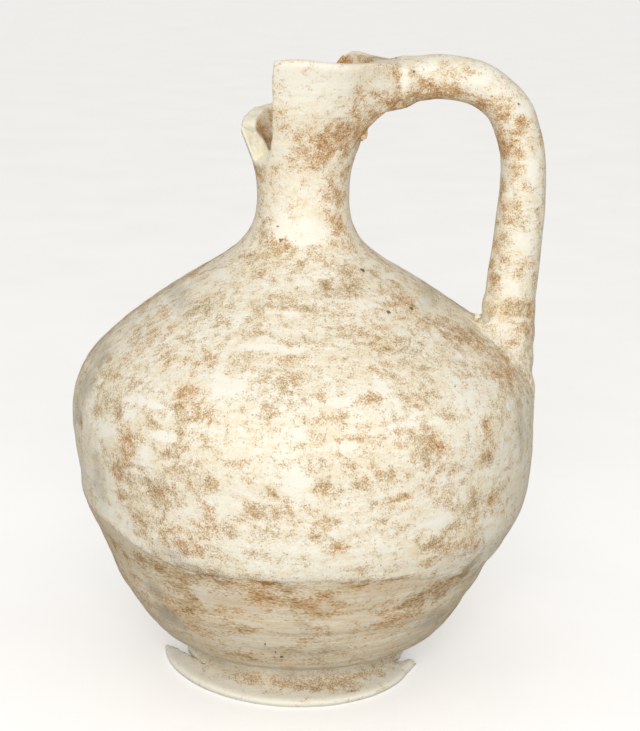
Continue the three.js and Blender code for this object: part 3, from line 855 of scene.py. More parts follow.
def heights_by_length(low, high, row):
    """Heights between two, at even steps of about one row along the wall."""
    start, end = along_at(low), along_at(high)
    lengths = np.linspace(start, end, int(np.ceil((end - start) / row)) + 1)
    return np.interp(lengths, OUT_ALONG, OUT_HEIGHT)


def row_normals(rows):
    around = np.roll(rows, -1, axis=1) - np.roll(rows, 1, axis=1)
    up = np.gradient(rows, axis=0)
    normal = np.cross(around, up)
    return normal / np.linalg.norm(normal, axis=-1, keepdims=True)


def turned_mesh(name, rows, sharp_rows, inner_from, outer_normals, poles):
    """Mesh of rings: outline rows from the lower joint up the outer wall and down the inner one.
    outer_normals is (first outer row, normals). With poles the outline starts and ends on the axis."""
    count = len(rows)
    points = rows.reshape(-1, 3)
    turn = np.arange(AROUND)
    after = (turn + 1) % AROUND
    steps = np.arange(count - 1 if poles else count)
    low = (steps * AROUND)[:, None]
    high = (((steps + 1) % count) * AROUND)[:, None]
    quads = np.stack([low + turn, low + after, high + after, high + turn], axis=-1).reshape(-1, 4)
    triangles = np.zeros((0, 3), int)
    if poles:
        start, end = len(points), len(points) + 1
        points = np.vstack([points, rows[0].mean(axis=0), rows[-1].mean(axis=0)])
        last = (count - 1) * AROUND
        first_fan = np.stack([np.full(AROUND, start), after, turn], axis=-1)
        last_fan = np.stack([last + turn, last + after, np.full(AROUND, end)], axis=-1)
        triangles = np.vstack([first_fan, last_fan])
    mesh = make_mesh(name, points, quads, triangles)

    edge = np.zeros(2 * len(mesh.edges), np.int32)
    mesh.edges.foreach_get("vertices", edge)
    edge_rows = edge.reshape(-1, 2) // AROUND
    sharp = (edge_rows[:, 0] == edge_rows[:, 1]) & np.isin(edge_rows[:, 0], sharp_rows)
    mesh.attributes.new("sharp_edge", "BOOLEAN", "EDGE").data.foreach_set("value", sharp)

    inside = np.repeat(steps >= inner_from, AROUND)
    inside = np.concatenate([inside, np.full(len(triangles), True)])
    mesh.polygons.foreach_set("material_index", inside.astype(np.int32))

    first, normals = outer_normals
    corner_normals = np.zeros((len(mesh.loops), 3))
    face_step = np.repeat(steps, AROUND)
    on_wall = (face_step >= first) & (face_step < first + len(normals) - 1)
    vertex = quads[on_wall]
    picked = normals[vertex // AROUND - first, vertex % AROUND]
    corner_normals[: 4 * len(quads)].reshape(-1, 4, 3)[on_wall] = picked
    mesh.normals_split_custom_set(corner_normals.tolist())
    return mesh


def wall_rows(low, high, inner_low=None):
    """Outer rows, their normals and inner rows of the wall between two heights."""
    outer = heights_by_length(low, high, ROW)
    ghosts = np.concatenate([[2 * outer[0] - outer[1]], outer, [2 * outer[-1] - outer[-2]]])
    places = wall_places(*np.meshgrid(RING_TURNS, ghosts))
    inner = heights_by_length(inner_low or low, high, INNER_ROW)[::-1]
    return places[1:-1], row_normals(places)[1:-1], inner_places(*np.meshgrid(RING_TURNS, inner))


def wall_ring(name, low, high):
    outer, normals, inner = wall_rows(low, high)
    rows = np.concatenate([outer, inner])
    joints = [0, len(outer) - 1, len(outer), len(rows) - 1]
    mesh = turned_mesh(name, rows, joints, len(outer), (0, normals), poles=False)
    give_wall_masks(mesh)
    return mesh


def level_rows(radii, levels, shift):
    """Rings of the given radii and heights round an axis that is shifted along x."""
    turns, reach = np.meshgrid(RING_TURNS, radii)
    _, rise = np.meshgrid(RING_TURNS, levels)
    return ring_places(turns, reach, rise, shift)


def lower_bowl():
    """Lower bowl with its floor and the turned underside inside the foot."""
    floor = FOOT_JOINT + FLOOR
    wall_start = floor + 1.8
    outer, normals, inner = wall_rows(FOOT_JOINT, RIDGE, inner_low=wall_start)
    under_radii = np.arange(1.5, 41, 1.5)
    under_heights = FOOT_JOINT - 0.16 * np.sin(under_radii / 1.3) ** 2
    under = level_rows(under_radii, under_heights, drift(FOOT_JOINT))
    floor_radii = np.arange(inner_radius(wall_start) - FLOOR, 2, -3.5)
    floor_rows = level_rows(floor_radii, floor + 0.3 * np.sin(floor_radii / 2.6), drift(floor))
    rows = np.concatenate([under, outer, inner, floor_rows])
    joint = len(under) + len(outer) - 1
    mesh = turned_mesh("lower_bowl", rows, [joint, joint + 1], joint, (len(under), normals), poles=True)
    give_wall_masks(mesh)
    return mesh


# Surfaces drawn from a field of distances: how near them the fine field is worked out, how often their
# points are drawn on to it, and the step over which its slope is read
FINE_BAND = 3.0
DRAW_PASSES = 2
SLOPE_STEP = 0.04


def field_slope(field, points):
    reading = field(points, True)
    slope = np.zeros_like(points)
    for axis in range(3):
        moved = points.copy()
        moved[:, axis] += SLOPE_STEP
        slope[:, axis] = (field(moved, True) - reading) / SLOPE_STEP
    return reading, slope


def clay_surface(name, field, low, high, cell):
    """Closed mesh where a field of distances crosses zero, smoothed on to the field itself."""
    low = np.array(low, float)
    counts = np.ceil((np.array(high) - low) / cell).astype(int) + 1
    steps = [low[k] + cell * np.arange(counts[k]) for k in range(3)]
    grid = np.stack(np.meshgrid(*steps, indexing="ij"), axis=-1)
    places = grid.reshape(-1, 3)
    value = field(places, False)
    close = np.abs(value) < FINE_BAND
    value[close] = field(places[close], True)
    value = value.reshape(counts)
    inside = value < 0
    cells = counts - 1
    number = np.arange(cells.prod()).reshape(cells)
    total = np.zeros((*cells, 3))
    hits = np.zeros(cells)
    faces = []
    for axis in range(3):
        side, rise = (axis + 1) % 3, (axis + 2) % 3
        before, after = [slice(1, -1)] * 3, [slice(1, -1)] * 3
        before[axis], after[axis] = slice(0, -1), slice(1, None)
        before, after = tuple(before), tuple(after)
        crossing = inside[before] != inside[after]
        share = value[before] / np.where(crossing, value[before] - value[after], 1)
        spot = grid[before].copy()
        spot[..., axis] += np.where(crossing, share, 0) * cell
        ring = []
        for across, up in ((0, 0), (1, 0), (1, 1), (0, 1)):
            around = [slice(None)] * 3
            around[side] = slice(1, None) if across else slice(0, -1)
            around[rise] = slice(1, None) if up else slice(0, -1)
            around = tuple(around)
            total[around] += spot * crossing[..., None]
            hits[around] += crossing
            ring.append(number[around][crossing])
        ring = np.stack(ring, axis=-1)
        outward = inside[before][crossing]
        faces.append(np.where(outward[:, None], ring, ring[:, ::-1]))
    faces = np.concatenate(faces)
    used, faces = np.unique(faces, return_inverse=True)
    faces = faces.reshape(-1, 4)
    points = (total.reshape(-1, 3)[used]) / hits.reshape(-1)[used][:, None]
    for _ in range(DRAW_PASSES):
        reading, slope = field_slope(field, points)
        reach = reading / np.maximum((slope * slope).sum(axis=-1), 0.3)
        points -= (np.clip(reach, -0.5 * cell, 0.5 * cell))[:, None] * slope
    return make_mesh(name, points, faces, np.zeros((0, 3), int))


def cut_flat(mesh, level):
    """Cuts a mesh off below a level and closes it with a flat face."""
    work = bmesh.new()
    work.from_mesh(mesh)
    everything = work.verts[:] + work.edges[:] + work.faces[:]
    cut = bmesh.ops.bisect_plane(
        work, geom=everything, dist=1e-7, plane_co=(0, 0, level * MM), plane_no=(0, 0, -1), clear_outer=True
    )
    edges = [part for part in cut["geom_cut"] if isinstance(part, bmesh.types.BMEdge)]
    filled = bmesh.ops.triangle_fill(work, edges=edges, use_beauty=True, normal=(0, 0, -1))
    for face in filled["geom"]:
        if isinstance(face, bmesh.types.BMFace):
            face.smooth = False
    for edge in edges:
        edge.smooth = False
    bmesh.ops.recalc_face_normals(work, faces=work.faces[:])
    work.to_mesh(mesh)
    work.free()


# Foot ring: start, pull and end of each curve of its outline, as (radius, height), from the top joint
# down and out, round the edge, and back up inside
FOOT_NECK = ((41.9, 12.0), (40.0, 10.4), (40.6, 8.0))
FOOT_FLARE = ((40.6, 8.0), (41.6, 4.7), (50.8, 3.4))
FOOT_EDGE = ((50.8, 3.4), (54.6, 2.7), (52.3, 0.0))
FOOT_HOLLOW = ((48.6, 0.0), (41.8, 2.4), (31.5, 9.0))
FOOT_REACH = 53.1
FOOT_SPARE = 2
FOOT_CELL = 0.5

# Azimuth and reach of the foot's edge
FOOT_ROUND = (
    (0, 53.0), (60, 53.0), (90, 52.6), (125, 53.2), (160, 52.9), (182, 53.4), (200, 53.4), (215, 52.8),
    (235, 52.7), (260, 53.3), (288, 53.5), (304, 53.0), (314, 52.2), (323, 51.5), (331, 50.3), (340, 50.4),
)

# Pieces broken off the foot at its left and right: the upright planes that bound each break, as a place
# (x, y) and the direction towards what is gone, and the reach of the clay left between them
FOOT_BREAKS = (
    (((-55.1, -3.1), (0.79, 0.61)), ((-48.0, 21.0), (0.35, -0.94)), ((-36.0, 0.0), (-1.0, 0.0)), 44.4),
    (((45.9, -15.6), (-0.58, 0.815)), ((46.5, 21.5), (0.5, -0.87)), ((33.0, 0.0), (1.0, 0.0)), 43.4),
)

# Flake off the top of its edge at the right: azimuth where it starts and ends, radius and height where its
# face starts, and how steeply that face falls
FOOT_FLAKE = (327.5, 343, 48.4, 3.9, 1.6)

# Lines left by the wheel on its neck: height and depth
THROWING_LINES = ((10.4, 0.3), (8.9, 0.22), (7.6, 0.22))

# Roughness of its broken faces: weight, size and seed of each noise
FOOT_ROUGHNESS = ((0.5, 4, 66), (0.3, 1.7, 67))


def bent_line(start, pull, end, steps):
    share = np.linspace(0, 1, steps + 1)[:, None]
    rest = 1 - share
    return rest**2 * np.array(start) + 2 * rest * share * np.array(pull) + share**2 * np.array(end)


def outline_table(outline, low, high, step):
    """Signed distances from a closed outline, at the places of an even grid."""
    columns, rows = np.arange(low[0], high[0], step), np.arange(low[1], high[1], step)
    across, up = np.meshgrid(columns, rows, indexing="ij")
    places = np.stack([across, up], axis=-1)
    nearest = np.full(across.shape, np.inf)
    inside = np.zeros(across.shape, bool)
    for a, b in zip(outline, np.roll(outline, -1, axis=0)):
        side = b - a
        share = np.clip(((places - a) @ side) / (side @ side), 0, 1)
        gap = places - a - share[..., None] * side
        nearest = np.minimum(nearest, (gap * gap).sum(axis=-1))
        if a[1] != b[1]:
            meets = a[0] + (up - a[1]) * side[0] / side[1]
            inside ^= ((a[1] > up) != (b[1] > up)) & (across < meets)
    return np.sqrt(nearest) * np.where(inside, -1, 1)


# Table of distances from the foot's plain outline, which foot_gap reads between
FOOT_TABLE_LOW = (26.0, -3.0)
FOOT_TABLE_HIGH = (60.0, 16.0)
FOOT_TABLE_STEP = 0.1
FOOT_OUTLINE = np.vstack([
    bent_line(*FOOT_NECK, 12), bent_line(*FOOT_FLARE, 24)[1:], bent_line(*FOOT_EDGE, 10)[1:],
    [[52.1, -1.5], [48.8, -1.5]], bent_line(*FOOT_HOLLOW, 14), [[31.5, 12.0]],
])
FOOT_TABLE = outline_table(FOOT_OUTLINE, FOOT_TABLE_LOW, FOOT_TABLE_HIGH, FOOT_TABLE_STEP)


def foot_gap(radius, rise):
    """Distance from the foot's plain turned shape, less than zero inside it."""
    across = np.clip((radius - FOOT_TABLE_LOW[0]) / FOOT_TABLE_STEP, 0, FOOT_TABLE.shape[0] - 1.01)
    up = np.clip((rise - FOOT_TABLE_LOW[1]) / FOOT_TABLE_STEP, 0, FOOT_TABLE.shape[1] - 1.01)
    column, row = across.astype(int), up.astype(int)
    across, up = across - column, up - row
    low = FOOT_TABLE[column, row] * (1 - across) + FOOT_TABLE[column + 1, row] * across
    high = FOOT_TABLE[column, row + 1] * (1 - across) + FOOT_TABLE[column + 1, row + 1] * across
    return low * (1 - up) + high * up


def whole_foot(places, fine):
    """Distance from the foot before anything broke off it."""
    azimuth, radius = round_axis(places, FOOT_CENTRE)
    rise = places[:, 2]
    reach = (around_path(azimuth, FOOT_ROUND) - FOOT_REACH) * soft_rise(radius, 37, 51)
    if fine:
        wave = 0.35 * noise(places * [1, 1, 0], 30, 65) * smooth_step(rise / 3) * soft_rise(rise, 11, 6)
        upper = smooth_step((rise - 3.6) / 2) * soft_rise(rise, 12, 10.5)
        for level, depth in THROWING_LINES:
            reach = reach - upper * depth * bell((rise - level - 0.25 * np.sin(azimuth + level)) / 0.4)
        reach = reach + 0.12 * noise(places, 6, 63)
        rise = rise - wave
    return foot_gap(radius - reach, rise)


def foot_field(places, fine):
    azimuth, radius = round_axis(places, FOOT_CENTRE)
    gap = whole_foot(places, fine)
    rough = layered_noise(places, FOOT_ROUGHNESS) if fine else 0
    for *breaks, left in FOOT_BREAKS:
        gone = radius - left
        for (x, y), (face_x, face_y) in breaks:
            gone = np.minimum(gone, (places[:, 0] - x) * face_x + (places[:, 1] - y) * face_y)
        gap = smooth_max(gap, gone + rough, 0.5)
    start, end, bevel, level, fall = FOOT_FLAKE
    turn = np.degrees(azimuth) % 360
    flake = (places[:, 2] - level + fall * (radius - bevel)) / math.hypot(1, fall)
    flake = np.minimum(flake, np.minimum(turn - start, end - turn) * 0.9)
    return np.maximum(gap, flake + 0.5 * rough)


def foot_ring():
    """Flaring foot, uneven by hand, with its edge broken away at both sides and flaked at the right."""
    reach = FOOT_REACH + FOOT_SPARE
    low, high = (-reach - FOOT_SPARE, -reach, -1.3), (reach, reach, FOOT_JOINT + 1)
    mesh = clay_surface("thrown_foot", foot_field, low, high, FOOT_CELL)
    cut_flat(mesh, 0)
    bare = smooth_step((-whole_foot(mesh_points(mesh), True) - 0.2) / 0.5)
    give_wall_masks(mesh, bare)
    return mesh


def wall_gap(places, fine):
    """Distance of points from the dressed outer wall, less than zero inside it."""
    azimuth, radius = round_axis(places)
    height = places[:, 2]
    gap = (radius - outer_radius(height)) * np.cos(lean_at(height))
    return gap - relief(azimuth, height) if fine else gap


# Mouth: azimuth and height of its top edge, which is sound from SOUND_RIM[0] round to SOUND_RIM[1]
MOUTH_TOP = (
    (0, 236.4), (18, 235.9), (28, 236.3), (39, 236.5), (47, 237.3), (53.5, 237.3), (58.5, 235.2), (63, 232.6),
    (68, 229.5), (85, 225), (100, 221), (120, 217), (137, 216.6), (150, 214.4), (163, 212.6), (172, 211),
    (180, 210.2), (189, 209.7), (196, 212.4), (206, 213.6), (241.5, 213.6), (243.5, 237.6), (252.6, 238.0),
    (258.7, 238.3), (267.6, 238.5), (279.4, 238.0), (294.8, 236.9), (313, 236.4), (328, 236.2), (345, 236.3),
)
SOUND_RIM = (246, 55)

# Upright break beside the spout, as (height, x)
BREAK_LINE = ((198.9, -13.5), (201.8, -12.7), (205, -11.9), (209, -11.5), (236, -10.9))

# Slanting face of the stump behind it: its direction, and its distance from the middle of the footprint
STUMP_FACE = (0.707, -0.647, 0.289)
STUMP_FACE_OFFSET = 49.06

# Lower edge of the break on the outer face, as (azimuth, height), and how steeply it rises inwards
NOTCH_FOOT = ((185, 199), (215, 199), (225, 199.6), (232, 200.6), (240, 201.5))
NOTCH_SLOPE = 0.45

# Roughness of the break: weight, size and seed of each noise
MOUTH_ROUGHNESS = ((0.5, 5, 72), (0.22, 1.9, 73))
MOUTH_CELL = 0.5


def sound_rim(azimuth):
    """1 where the rim is whole, 0 where it is broken."""
    turn = np.degrees(azimuth) % 360
    start, end = SOUND_RIM
    return np.maximum(smooth_step((turn - start) / 3), smooth_step((end + 3 - turn) / 3))


def mouth_skins(places, fine):
    """Distances outside the outer face and inside the inner face of the mouth."""
    azimuth, radius = round_axis(places)
    height = places[:, 2]
    inner = (inner_radius(height) - throat_lump(azimuth, height) - radius) * np.cos(lean_at(height))
    if fine:
        inner = inner - 0.2 * noise(places, 12, 71) - 0.12 * np.sin(height / 1.1 + azimuth)
    return wall_gap(places, fine), inner


def mouth_field(places, fine):
    azimuth, _ = round_axis(places)
    height = places[:, 2]
    outer, inner = mouth_skins(places, fine)
    whole = sound_rim(azimuth)
    top = around_path(azimuth, MOUTH_TOP)
    split = np.interp(height, *zip(*BREAK_LINE)) - places[:, 0]
    face = places @ np.array(STUMP_FACE) - STUMP_FACE_OFFSET
    if fine:
        rough = layered_noise(places, MOUTH_ROUGHNESS)
        top = top + (1 - whole) * rough * 1.2 + whole * 0.22 * noise(places, 9, 74)
        split = split + 0.8 * rough
        face = face + 0.9 * rough
    beside_handle = smooth_step((np.cos(azimuth) - 0.55) / 0.3)
    rounding = 0.7 + 3.0 * whole * (1 - beside_handle)
    shell = smooth_max(np.maximum(outer, inner), height - top, rounding)
    notch = height - around_path(azimuth, NOTCH_FOOT) + NOTCH_SLOPE * np.minimum(outer, 0)
    notch = notch / math.hypot(1, NOTCH_SLOPE)
    gone = np.minimum(np.minimum(split, face), notch)
    return smooth_max(shell, gone, 0.7)


def inside_marks(marks):
    """Places, half sizes and strength of marks that are given by azimuth and height."""
    turn, height, half_width, half_height, strength = np.array(marks, float).T
    spot = ring_places(np.radians(turn), inner_radius(height), height, drift(height))
    return spot, half_width, half_height, strength


def broken_mouth():
    reach = MOUTH_RADIUS + 1.5
    low = (-reach, -reach, MOUTH_JOINT - 1.6)
    high = (reach, reach, RIM + 2.5)
    mesh = clay_surface("broken_mouth", mouth_field, low, high, MOUTH_CELL)
    cut_flat(mesh, MOUTH_JOINT)
    places = mesh_points(mesh)
    outer, inner = mouth_skins(places, True)
    sunk = np.minimum(-outer, -inner)
    whole = sound_rim(round_axis(places)[0]) * soft_rise(places[:, 2], 229, 233)
    inside = smooth_step((inner + 1.2) / 0.8)
    masks = wall_finish(places)
    stains = inside * spread_marks(places, inside_marks(MOUTH_INSIDE_MARKS), 0.9)
    masks["rust_and_shade"] = np.maximum(masks["rust_and_shade"] * (1 - inside), stains)
    masks["pale"] = masks["pale"] * (1 - inside)
    masks["worn"] = np.maximum(masks["worn"], 0.45 * inside)
    masks["bare"] = soft_rise(sunk, 0.15, 0.65) * (1 - whole)
    masks["turned"] = turned_grain(places)
    give_masks(mesh, masks)
    return mesh


# Handle: centre line as (x, height, thickness), from inside the mouth to the shoulder
BAR_STATIONS = (
    (8, 227.2, 22.4), (22, 227.3, 22.2), (29, 227.9, 22.0), (32.5, 228.4, 21.6), (36, 228.9, 20.2),
    (40, 229.5, 17.6), (44, 229.9, 17.3), (50.5, 230.3, 17.1), (62.9, 228.4, 16.8),
    (72, 222.7, 16), (77.6, 215.4, 16.8), (81.4, 203.2, 17.0), (82.3, 190, 17.5), (81.5, 175.5, 18.8),
    (80.0, 157, 19.9), (79.1, 143, 19.9), (78.9, 128, 19.8), (77.5, 112, 20), (72, 98, 20),
)

# Room left in the frame's handle for the lumps of this one
BAR_ROOM = 0.7
BAR_WIDTH = handle_high[1] - handle_low[1] - BAR_ROOM
BAR_CELL = 0.55

# Lumps of the rolled clay: weight, size and seed of each noise
BAR_LUMPS = ((0.34, 17, 81), (0.16, 7, 82), (0.05, 2.6, 83))

# Grid over the handle's plane, as (x, height), that holds the nearest step of its centre line
BAR_TABLE_STEP = 0.5
BAR_TABLE_LOW = (8.0, 98.0)
BAR_TABLE_HIGH = (98.0, 244.0)

# How far the handle's top rises above the rim, by its distance from the axis, and its highest place
BAR_RISE = (
    (20, -0.3), (25, -0.4), (29, -0.6), (33, 0.5), (36, 1.3), (40, 1.3), (43.5, 1.5), (47.3, 2.1), (51, 2.9),
    (57, 12),
)
BAR_CREST = handle_high[2] + 0.1

# How deep the handle and the wad reach into the wall, and the smears into the clay that they cover
WALL_SEAT = 0.4
SMEAR_SEAT = 0.5

# How far the handle and the wad take the wall's surface in, so that their clay ends just under it
WALL_SHRINK = 0.15

# Fillets of clay: under the handle's start, at the sides of its start, at its root and at the root's sides
TOP_FILLET = 4.0
SIDE_FILLET = 17
ROOT_FILLET = 1.6
ROOT_SIDE_FILLET = 9


def smooth_line(stations, steps):
    """Even curve through stations, with its tangents."""
    stations = np.array(stations, float)
    ends = [2 * stations[0] - stations[1]], [2 * stations[-1] - stations[-2]]
    a, b, c, d = (np.vstack([ends[0], stations, ends[1]])[k : k + len(stations) - 1] for k in range(4))
    share = np.linspace(0, 1, steps, endpoint=False)[None, :, None]
    a, b, c, d = a[:, None], b[:, None], c[:, None], d[:, None]
    line = b + 0.5 * share * (c - a + share * (2 * a - 5 * b + 4 * c - d + share * (3 * (b - c) + d - a)))
    line = line.reshape(-1, stations.shape[1])
    step = np.gradient(line[:, :2], axis=0)
    return line, step / np.linalg.norm(step, axis=-1, keepdims=True)


BAR_LINE, BAR_TANGENT = smooth_line(BAR_STATIONS, 24)


def nearest_table():
    """For each place of a grid over the handle's plane, the nearest step of its centre line."""
    x = np.arange(BAR_TABLE_LOW[0], BAR_TABLE_HIGH[0], BAR_TABLE_STEP)
    z = np.arange(BAR_TABLE_LOW[1], BAR_TABLE_HIGH[1], BAR_TABLE_STEP)
    best = np.full((len(x), len(z)), np.inf)
    nearest = np.zeros((len(x), len(z)), int)
    for step, (line_x, line_z, _) in enumerate(BAR_LINE):
        gap = (x[:, None] - line_x) ** 2 + (z[None, :] - line_z) ** 2
        closer = gap < best
        best[closer] = gap[closer]
        nearest[closer] = step
    return nearest


NEAREST = nearest_table()


def bar_gap(places, fine):
    """Distance from the rolled bar of the handle, less than zero inside it."""
    x, y, z = places.T
    column = np.clip(np.round((x - BAR_TABLE_LOW[0]) / BAR_TABLE_STEP).astype(int), 0, NEAREST.shape[0] - 1)
    row = np.clip(np.round((z - BAR_TABLE_LOW[1]) / BAR_TABLE_STEP).astype(int), 0, NEAREST.shape[1] - 1)
    step = NEAREST[column, row]
    line, tangent = BAR_LINE[step], BAR_TANGENT[step]
    aside = (x - line[:, 0]) * tangent[:, 1] - (z - line[:, 1]) * tangent[:, 0]
    half_thick, half_wide = line[:, 2] / 2, BAR_WIDTH / 2
    share = np.sqrt((aside / half_thick) ** 2 + (y / half_wide) ** 2) + 1e-6
    slope = np.sqrt((aside / half_thick**2) ** 2 + (y / half_wide**2) ** 2) / share + 1e-6
    gap = (share - 1) / slope
    if fine:
        gap = gap - layered_noise(places, BAR_LUMPS) + 0.22
        before = smooth_step((-1 - y) / 5) * soft_rise(z, 219, 222)
        gap = gap + before * (0.7 * bell((x - 34.5) / 1.5) - 0.45 * bell((x - 38) / 2.2))
    return gap


def joined_clay(places, fine, root_fillet, shrink):
    """Handle run into the mouth and the shoulder with fillets of clay."""
    bar = bar_gap(places, fine)
    wall = wall_gap(places, fine) + shrink
    under = soft_rise(places[:, 2], 229, 220) * soft_rise(places[:, 2], 180, 192)
    under = under * soft_rise(np.abs(places[:, 1]), 9.5, 4)
    low = soft_rise(places[:, 2], 175, 163)
    beside = soft_rise(np.abs(places[:, 1]), 3, 9)
    root = root_fillet + (ROOT_SIDE_FILLET - ROOT_FILLET) * beside
    ease = SIDE_FILLET + (TOP_FILLET - SIDE_FILLET) * under + (root - SIDE_FILLET) * low
    return smooth_min(bar, wall, ease), wall


def handle_field(places, fine):
    clay, wall = joined_clay(places, fine, ROOT_FILLET, WALL_SHRINK)
    azimuth, _ = round_axis(places)
    x, y, z = places[:, 0] - drift(places[:, 2]), places[:, 1], places[:, 2]
    top = around_path(azimuth, MOUTH_TOP) + np.interp(x, *zip(*BAR_RISE))
    top = np.minimum(top - y * y / 30 * soft_rise(x, 30, 38), BAR_CREST)
    clay = smooth_max(clay, z - top, 1.2)
    return np.maximum(clay, -(wall + WALL_SEAT))


def give_bar_masks(mesh):
    """Finish of the handle, which runs into that of the wall where its clay comes down on the wall."""
    places = mesh_points(mesh)
    masks, wall = bar_finish(places), wall_finish(places)
    on_wall = smooth_step((4.5 - wall_gap(places, True)) / 4)
    on_mouth = soft_rise(places[:, 2], 175, 185)
    for name, values in wall.items():
        joined = np.maximum(masks[name], on_wall * values)
        own = masks[name] + on_wall * (values - masks[name])
        masks[name] = own + on_mouth * (joined - own)
    masks["turned"] = places * MM
    masks["bare"] = np.zeros(len(places))
    give_masks(mesh, masks)


# Wad of clay pressed under the handle's start, with its flaps as (x, y, height, radius)
WAD_HALF_WIDTH = 5.6
WAD_THICKNESS = 0.5
WAD_FLAPS = ((22.2, -6.2, 212.0, 1.3), (21.9, -6.5, 209.9, 1.45), (20.9, -6.7, 208.2, 1.1))

# Pad of clay smeared round its root: middle, reach each way, thickness, and nub as (x, y, height, radius)
PAD_CENTRE = (78.0, 0.0, 129.0)
PAD_REACH = (18.5, 16.0, 21.0)
PAD_THICKNESS = 0.5
PAD_NUB = (66.5, -5.0, 140.3, 1.2)
SMEAR_CELL = 0.42


def lump_gap(places, lump):
    return np.linalg.norm(places - np.array(lump[:3]), axis=-1) - lump[3]


def wad_field(places, fine):
    clay, wall = joined_clay(places, fine, ROOT_FILLET, WALL_SHRINK)
    y, z = places[:, 1], places[:, 2]
    bar = bar_gap(places, False)
    half_width = WAD_HALF_WIDTH
    thickness = WAD_THICKNESS
    if fine:
        half_width = half_width + 1.3 * noise(places * [1, 0, 1], 6, 91)
        thickness = thickness + 0.3 * noise(places, 4, 92)
    thin = soft_rise(wall, 13, 18) + soft_rise(bar, 13, 17)
    feather = smooth_step((half_width - np.abs(y)) / 2.5 + 0.3)
    skin = clay - thickness * feather * (1 - np.minimum(thin, 1)) + 0.2
    skin = smooth_max(skin, np.abs(y) - half_width, 0.8)
    rough = 0.7 * noise(places, 1.5, 96) if fine else 0
    for flap in WAD_FLAPS:
        skin = smooth_min(skin, lump_gap(places, flap) + rough, 1.4)
    shell = np.maximum(skin, -(clay + SMEAR_SEAT))
    shell = np.maximum(shell, -(wall + WALL_SEAT))
    return np.maximum(shell, np.maximum(z - 225, wall - 24))


def pad_field(places, fine):
    clay, _ = joined_clay(places, fine, ROOT_FILLET + 1, 0)
    away = np.linalg.norm((places - np.array(PAD_CENTRE)) / np.array(PAD_REACH), axis=-1)
    thickness = PAD_THICKNESS
    if fine:
        away = away + 0.2 * noise(places, 7, 93) + 0.1 * noise(places, 2.8, 94)
        thickness = thickness + 0.3 * noise(places, 5, 95)
        x, y, z = places.T
        strokes = np.stack([0.86 * x + 0.5 * z, y, z * 0.3], axis=-1)
        thickness = thickness + 0.4 * noise(strokes, 2.8, 97)
    cover = smooth_step((1.08 - away) / 0.16)
    skin = clay - thickness * cover + 0.2
    skin = smooth_min(skin, lump_gap(places, PAD_NUB), 1.4)
    under = np.minimum(clay, lump_gap(places, PAD_NUB))
    shell = np.maximum(skin, -(under + SMEAR_SEAT))
    return np.maximum(shell, 8 * (away - 1.35))


# Boxes that hold the handle and its two smears: lowest and highest corner
HANDLE_BOX = ((10.0, -25.0, SHOULDER_LINE - 13), (95.0, 25.0, RIM + 3))
WAD_BOX = ((14.0, -10.0, 199.0), (52.0, 10.0, 227.0))
PAD_BOX = ((56.0, -22.0, 104.0), (95.0, 22.0, 158.0))


def handle_clay(name, field, low, high, cell):
    mesh = clay_surface(name, field, low, high, cell)
    give_bar_masks(mesh)
    return mesh


def dress(name, mesh, slot, materials, *nodes):
    """Sets a finished mesh down as a piece that stands for its nodes."""
    piece = set_down(name, mesh)
    for material in materials:
        mesh.materials.append(material)
    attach(piece, "root")
    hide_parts(*nodes)


# Finishes

def add(tree, kind, inputs=None, **settings):
    """Adds a node, sets its settings and sets or links its inputs."""
    made = tree.nodes.new(kind)
    for name, value in settings.items():
        setattr(made, name, value)
    for socket, value in (inputs or {}).items():
        if isinstance(value, bpy.types.NodeSocket):
            tree.links.new(value, made.inputs[socket])
        else:
            made.inputs[socket].default_value = value
    return made


def maths(tree, operation, a, b=0.5, clamp=False):
    return add(tree, "ShaderNodeMath", {0: a, 1: b}, operation=operation, use_clamp=clamp).outputs[0]


def blend(tree, share, a, b):
    return add(tree, "ShaderNodeMix", {0: share, 6: a, 7: b}, data_type="RGBA").outputs[2]


def ramp(tree, value, low, high, start=0.0, end=1.0):
    inputs = {0: value, 1: low, 2: high, 3: start, 4: end}
    return add(tree, "ShaderNodeMapRange", inputs, interpolation_type="SMOOTHSTEP").outputs[0]


def grain(tree, place, scale, detail=2.0, roughness=0.5, distortion=0.0):
    inputs = {
        "Vector": place, "Scale": scale, "Detail": detail, "Roughness": roughness, "Distortion": distortion,
    }
    return add(tree, "ShaderNodeTexNoise", inputs).outputs[0]


def weigh_in(tree, level, texture, weight):
    """Adds a texture to a level by its distance from its own middle."""
    return maths(tree, "ADD", level, maths(tree, "MULTIPLY", maths(tree, "SUBTRACT", texture, 0.5), weight))


def new_group(name, inputs, outputs):
    """Node group of numbers. An input whose value is None is a vector."""
    tree = bpy.data.node_groups.new(name, "ShaderNodeTree")
    for socket, value in inputs.items():
        kind = "NodeSocketVector" if value is None else "NodeSocketFloat"
        item = tree.interface.new_socket(socket, in_out="INPUT", socket_type=kind)
        if value is not None:
            item.default_value = value
    for socket in outputs:
        tree.interface.new_socket(socket, in_out="OUTPUT", socket_type="NodeSocketFloat")
    return tree, tree.nodes.new("NodeGroupInput").outputs, tree.nodes.new("NodeGroupOutput").inputs


def use_group(tree, group, **inputs):
    return add(tree, "ShaderNodeGroup", inputs, node_tree=group).outputs


